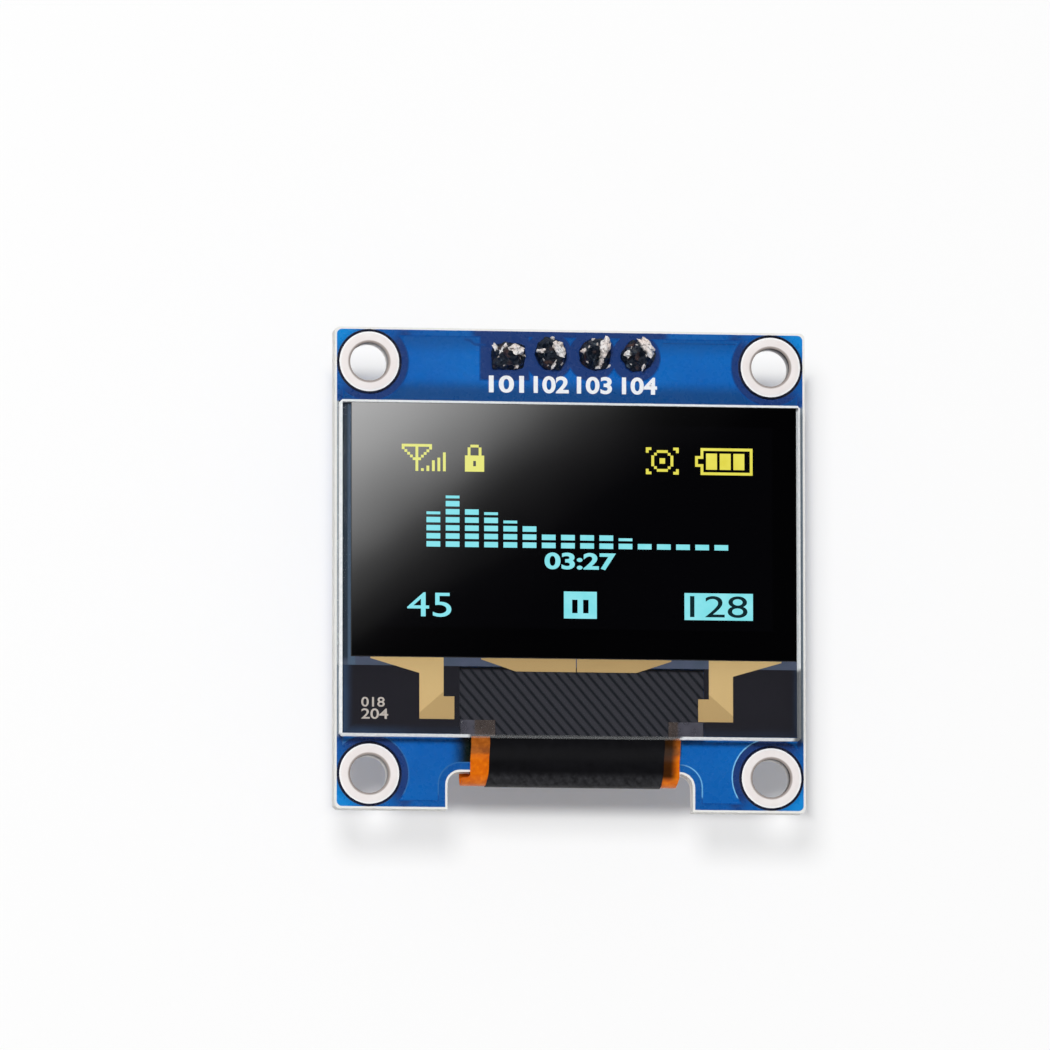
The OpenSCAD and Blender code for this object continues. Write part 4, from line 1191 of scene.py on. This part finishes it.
# %% Cuts beside the pads
shape, low = bmesh.new(), copper.high.z - 0.001
strip(shape, [(-6.1, 13.26), (-5.8, 13.2), (-5.55, 12.98), (-4.95, 12.96)], 0.13, low, copper.high.z + 0.003)
strip(shape, [(5.4, 13.2), (9.6, 13.2)], 0.05, low, copper.high.z + 0.002)
settle("front_cuts", shape, [track_cut])

# %% [markdown]
# ## What the display shows
#
# The panel is a grid of 128 by 64 dots, yellow in its top rows and cyan below. Level
# bars, boxes and reception bars are packed solids already. The icons are drawn here as
# rows of characters, one per dot, which is how such a picture is drawn in practice, and
# each row's runs of lit dots become thin blocks.

# %% Lit finishes
def lit(name, low, high, left):
    """Dots that glow between two tones, with a painted reflection that makes them paler towards the left of the
    display.
    """
    finish = Finish(name, Roughness=0.5, Emission_Strength=1.0, Base_Color=(0.02, 0.02, 0.02, 1))
    point = finish.place()
    tone = mix(cloud(point, 1.1, 3.0), low, high)
    # painted reflection: paler towards the left
    finish.set(Emission_Color=mix(ease(axes(point)[0], 0.0, -8.0) * 0.8, tone, left))
    return finish


cyan = lit("lit_cyan_dots", "5cd2da", "9eecf4", "84e2ec")
yellow = lit("lit_yellow_dots", "d6c828", "f0ec62", "e6ea8c")
dress(cyan, "lit_bars", "lit_boxes")
bars = Span("lit_bars")
DOT_W, DOT_H = 0.1588, 0.1555
first_x, first_y = bars.low.x - 9 * DOT_W, bars.low.y + 38 * DOT_H
face, lit_t = film.high.z, bars.size.z
print("first dot at", round(first_x, 2), round(first_y, 2))


# %% Drawing from rows of dots
def dot_at(column, row):
    """The upper left corner of a dot."""
    return first_x + column * DOT_W, first_y - row * DOT_H


def draw(shape, column, row, picture):
    for down, line in enumerate(picture.split("/"), start=row):
        start = None
        for over, mark in enumerate(line + " ", start=column):
            if mark == "#" and start is None:
                start = over
            if mark != "#" and start is not None:
                (x0, y1), (x1, y0) = dot_at(start, down), dot_at(over, down + 1)
                block(shape, (x0, y0, face), (x1, y1, face + lit_t))
                start = None


AERIAL = ("###########/#    #    #/ #   #   # /  #  #  #  /   # # #   /    ###    /     #     "
          "/     #     /     #     /     #     ")
RECEPTION = "        #/        #/      # #/    # # #/    # # #/  # # # #/# # # # #"
LOCK = ("   ###   /  #   #  /  #   #  /  #   #  / ####### / ####### / ### ### / ### ### "
        "/ ####### / ####### ")
FRAME_DOT = ("##        ##/#   ####   #/   #    #   /  #      #  /  #  ##  #  /  #  ##  #  "
             "/  #      #  /   #    #   /#   ####   #/##        ##")
BATTERY = ("  ###################/  #                 #/  # #### #### ####  #/### #### #### ####  #"
           "/#   #### #### ####  #/#   #### #### ####  #/### #### #### ####  #/  # #### #### ####  #"
           "/  #                 #/  ###################")
shape = bmesh.new()
for column, row, picture in ((0, 0, AERIAL), (7, 3, RECEPTION), (22, 0, LOCK), (89, 0, FRAME_DOT), (107, 0, BATTERY)):
    draw(shape, column, row, picture)
settle("yellow_icons", shape, [yellow], "lit_status", outward=False)


# %% Lit and dark digits
def grid_text(shape, words, column, row, columns, rows, base, thick, bold=0.0):
    (x0, y1), (x1, y0) = dot_at(column, row), dot_at(column + columns, row + rows)
    lettering(shape, words, (x0, y0), (x1, y1), base, thick, bold)


shape, unlit = bmesh.new(), bmesh.new()
grid_text(shape, "03:27", 52, 39.6, 26, 6.3, face, lit_t, 0.03)
grid_text(shape, "45", 2, 55, 16, 9, face, lit_t)
settle("cyan_digits", shape, [cyan], outward=False)
grid_text(unlit, "128", 105, 55, 21, 8, face + lit_t, 0.005)
dark = clouded("unlit_dots", "0a2024", "123036", 4.0, 2.0, Roughness=0.1)
settle("dark_digits", unlit, [dark], outward=False)

# %% Digits on the ledge
shape = bmesh.new()
lettering(shape, "018", (-12.2, -8.12), (-10.85, -7.56), ledge.high.z, 0.002, 0.012)
lettering(shape, "204", (-12.2, -8.82), (-10.65, -8.22), ledge.high.z, 0.002, 0.012)
faint = clouded("faint_ledge_digits", "b5aba2", "e0d8d0", 5.0, 3.0, Roughness=0.6)
settle("ledge_digits", shape, [faint], outward=False)

# %% [markdown]
# ## The card that the film mirrors
#
# A mirror shows its surroundings, so the fade on the film is made where a studio makes
# it: with a dark card above the set whose corner is bright. It stands where the
# camera's sight line goes after it bounces off the film, and only mirror rays see it.

# %% Where the sight line meets the card
CARD_H = 300.0
run = CARD_H - film.high.z
grow = 1 + run / (FAR * -sight.z)


def on_card(x, y):
    """The point of the card that shows in the film at a place."""
    return Vector((x * grow - sight.x / sight.z * run, y * grow - sight.y / sight.z * run))


centre, corner = on_card(0, 0), on_card(film.low.x, film.high.y)
print("card centre", [round(v, 1) for v in centre], "grown by", round(grow, 2))

# %% Card
FADE = ((0.0, 0.451), (0.1, 0.376), (0.2, 0.301), (0.31, 0.202), (0.41, 0.120), (0.51, 0.045), (0.61, 0.014),
        (0.72, 0.005), (0.82, 0.002), (1.0, 0.0))
dim = Finish("dark_card", Base_Color="000000", Roughness=1.0, Specular_IOR_Level=0.0, Emission_Strength=25.0)
x, y, _ = axes(dim.place((corner.x, corner.y, 0)))
across, down = x / grow, y / -grow
fade = dim.node("ShaderNodeValToRGB", None, {0: (across + down * 1.22) / 25.0 - 0.06})
stops = fade.socket.node.color_ramp.elements
while len(stops) < len(FADE):
    stops.new(0.5)
for stop, (at, level) in zip(stops, FADE):
    stop.position, stop.color = at, (level, level, level, 1)
below = ease(across * 0.59 + down, 14.75, 15.25)
inside = ease(x, -5.0, -1.0) * ease(y, 5.0, 1.0)
dim.set(Emission_Color=mix(inside * (1 - below * 0.65), "000000", fade))
card = sheet_of("card", 240, (*centre, CARD_H), dim)
card.visible_camera = card.visible_diffuse = card.visible_shadow = card.visible_transmission = False
card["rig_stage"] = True
print("card hung", CARD_H, "mm up")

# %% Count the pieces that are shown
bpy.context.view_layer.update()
shown = list(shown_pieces())
undressed = [o.name for o in shown if "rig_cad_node" in o and o["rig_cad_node"] not in dressed]
print(len(shown), "pieces shown; undressed:", undressed)
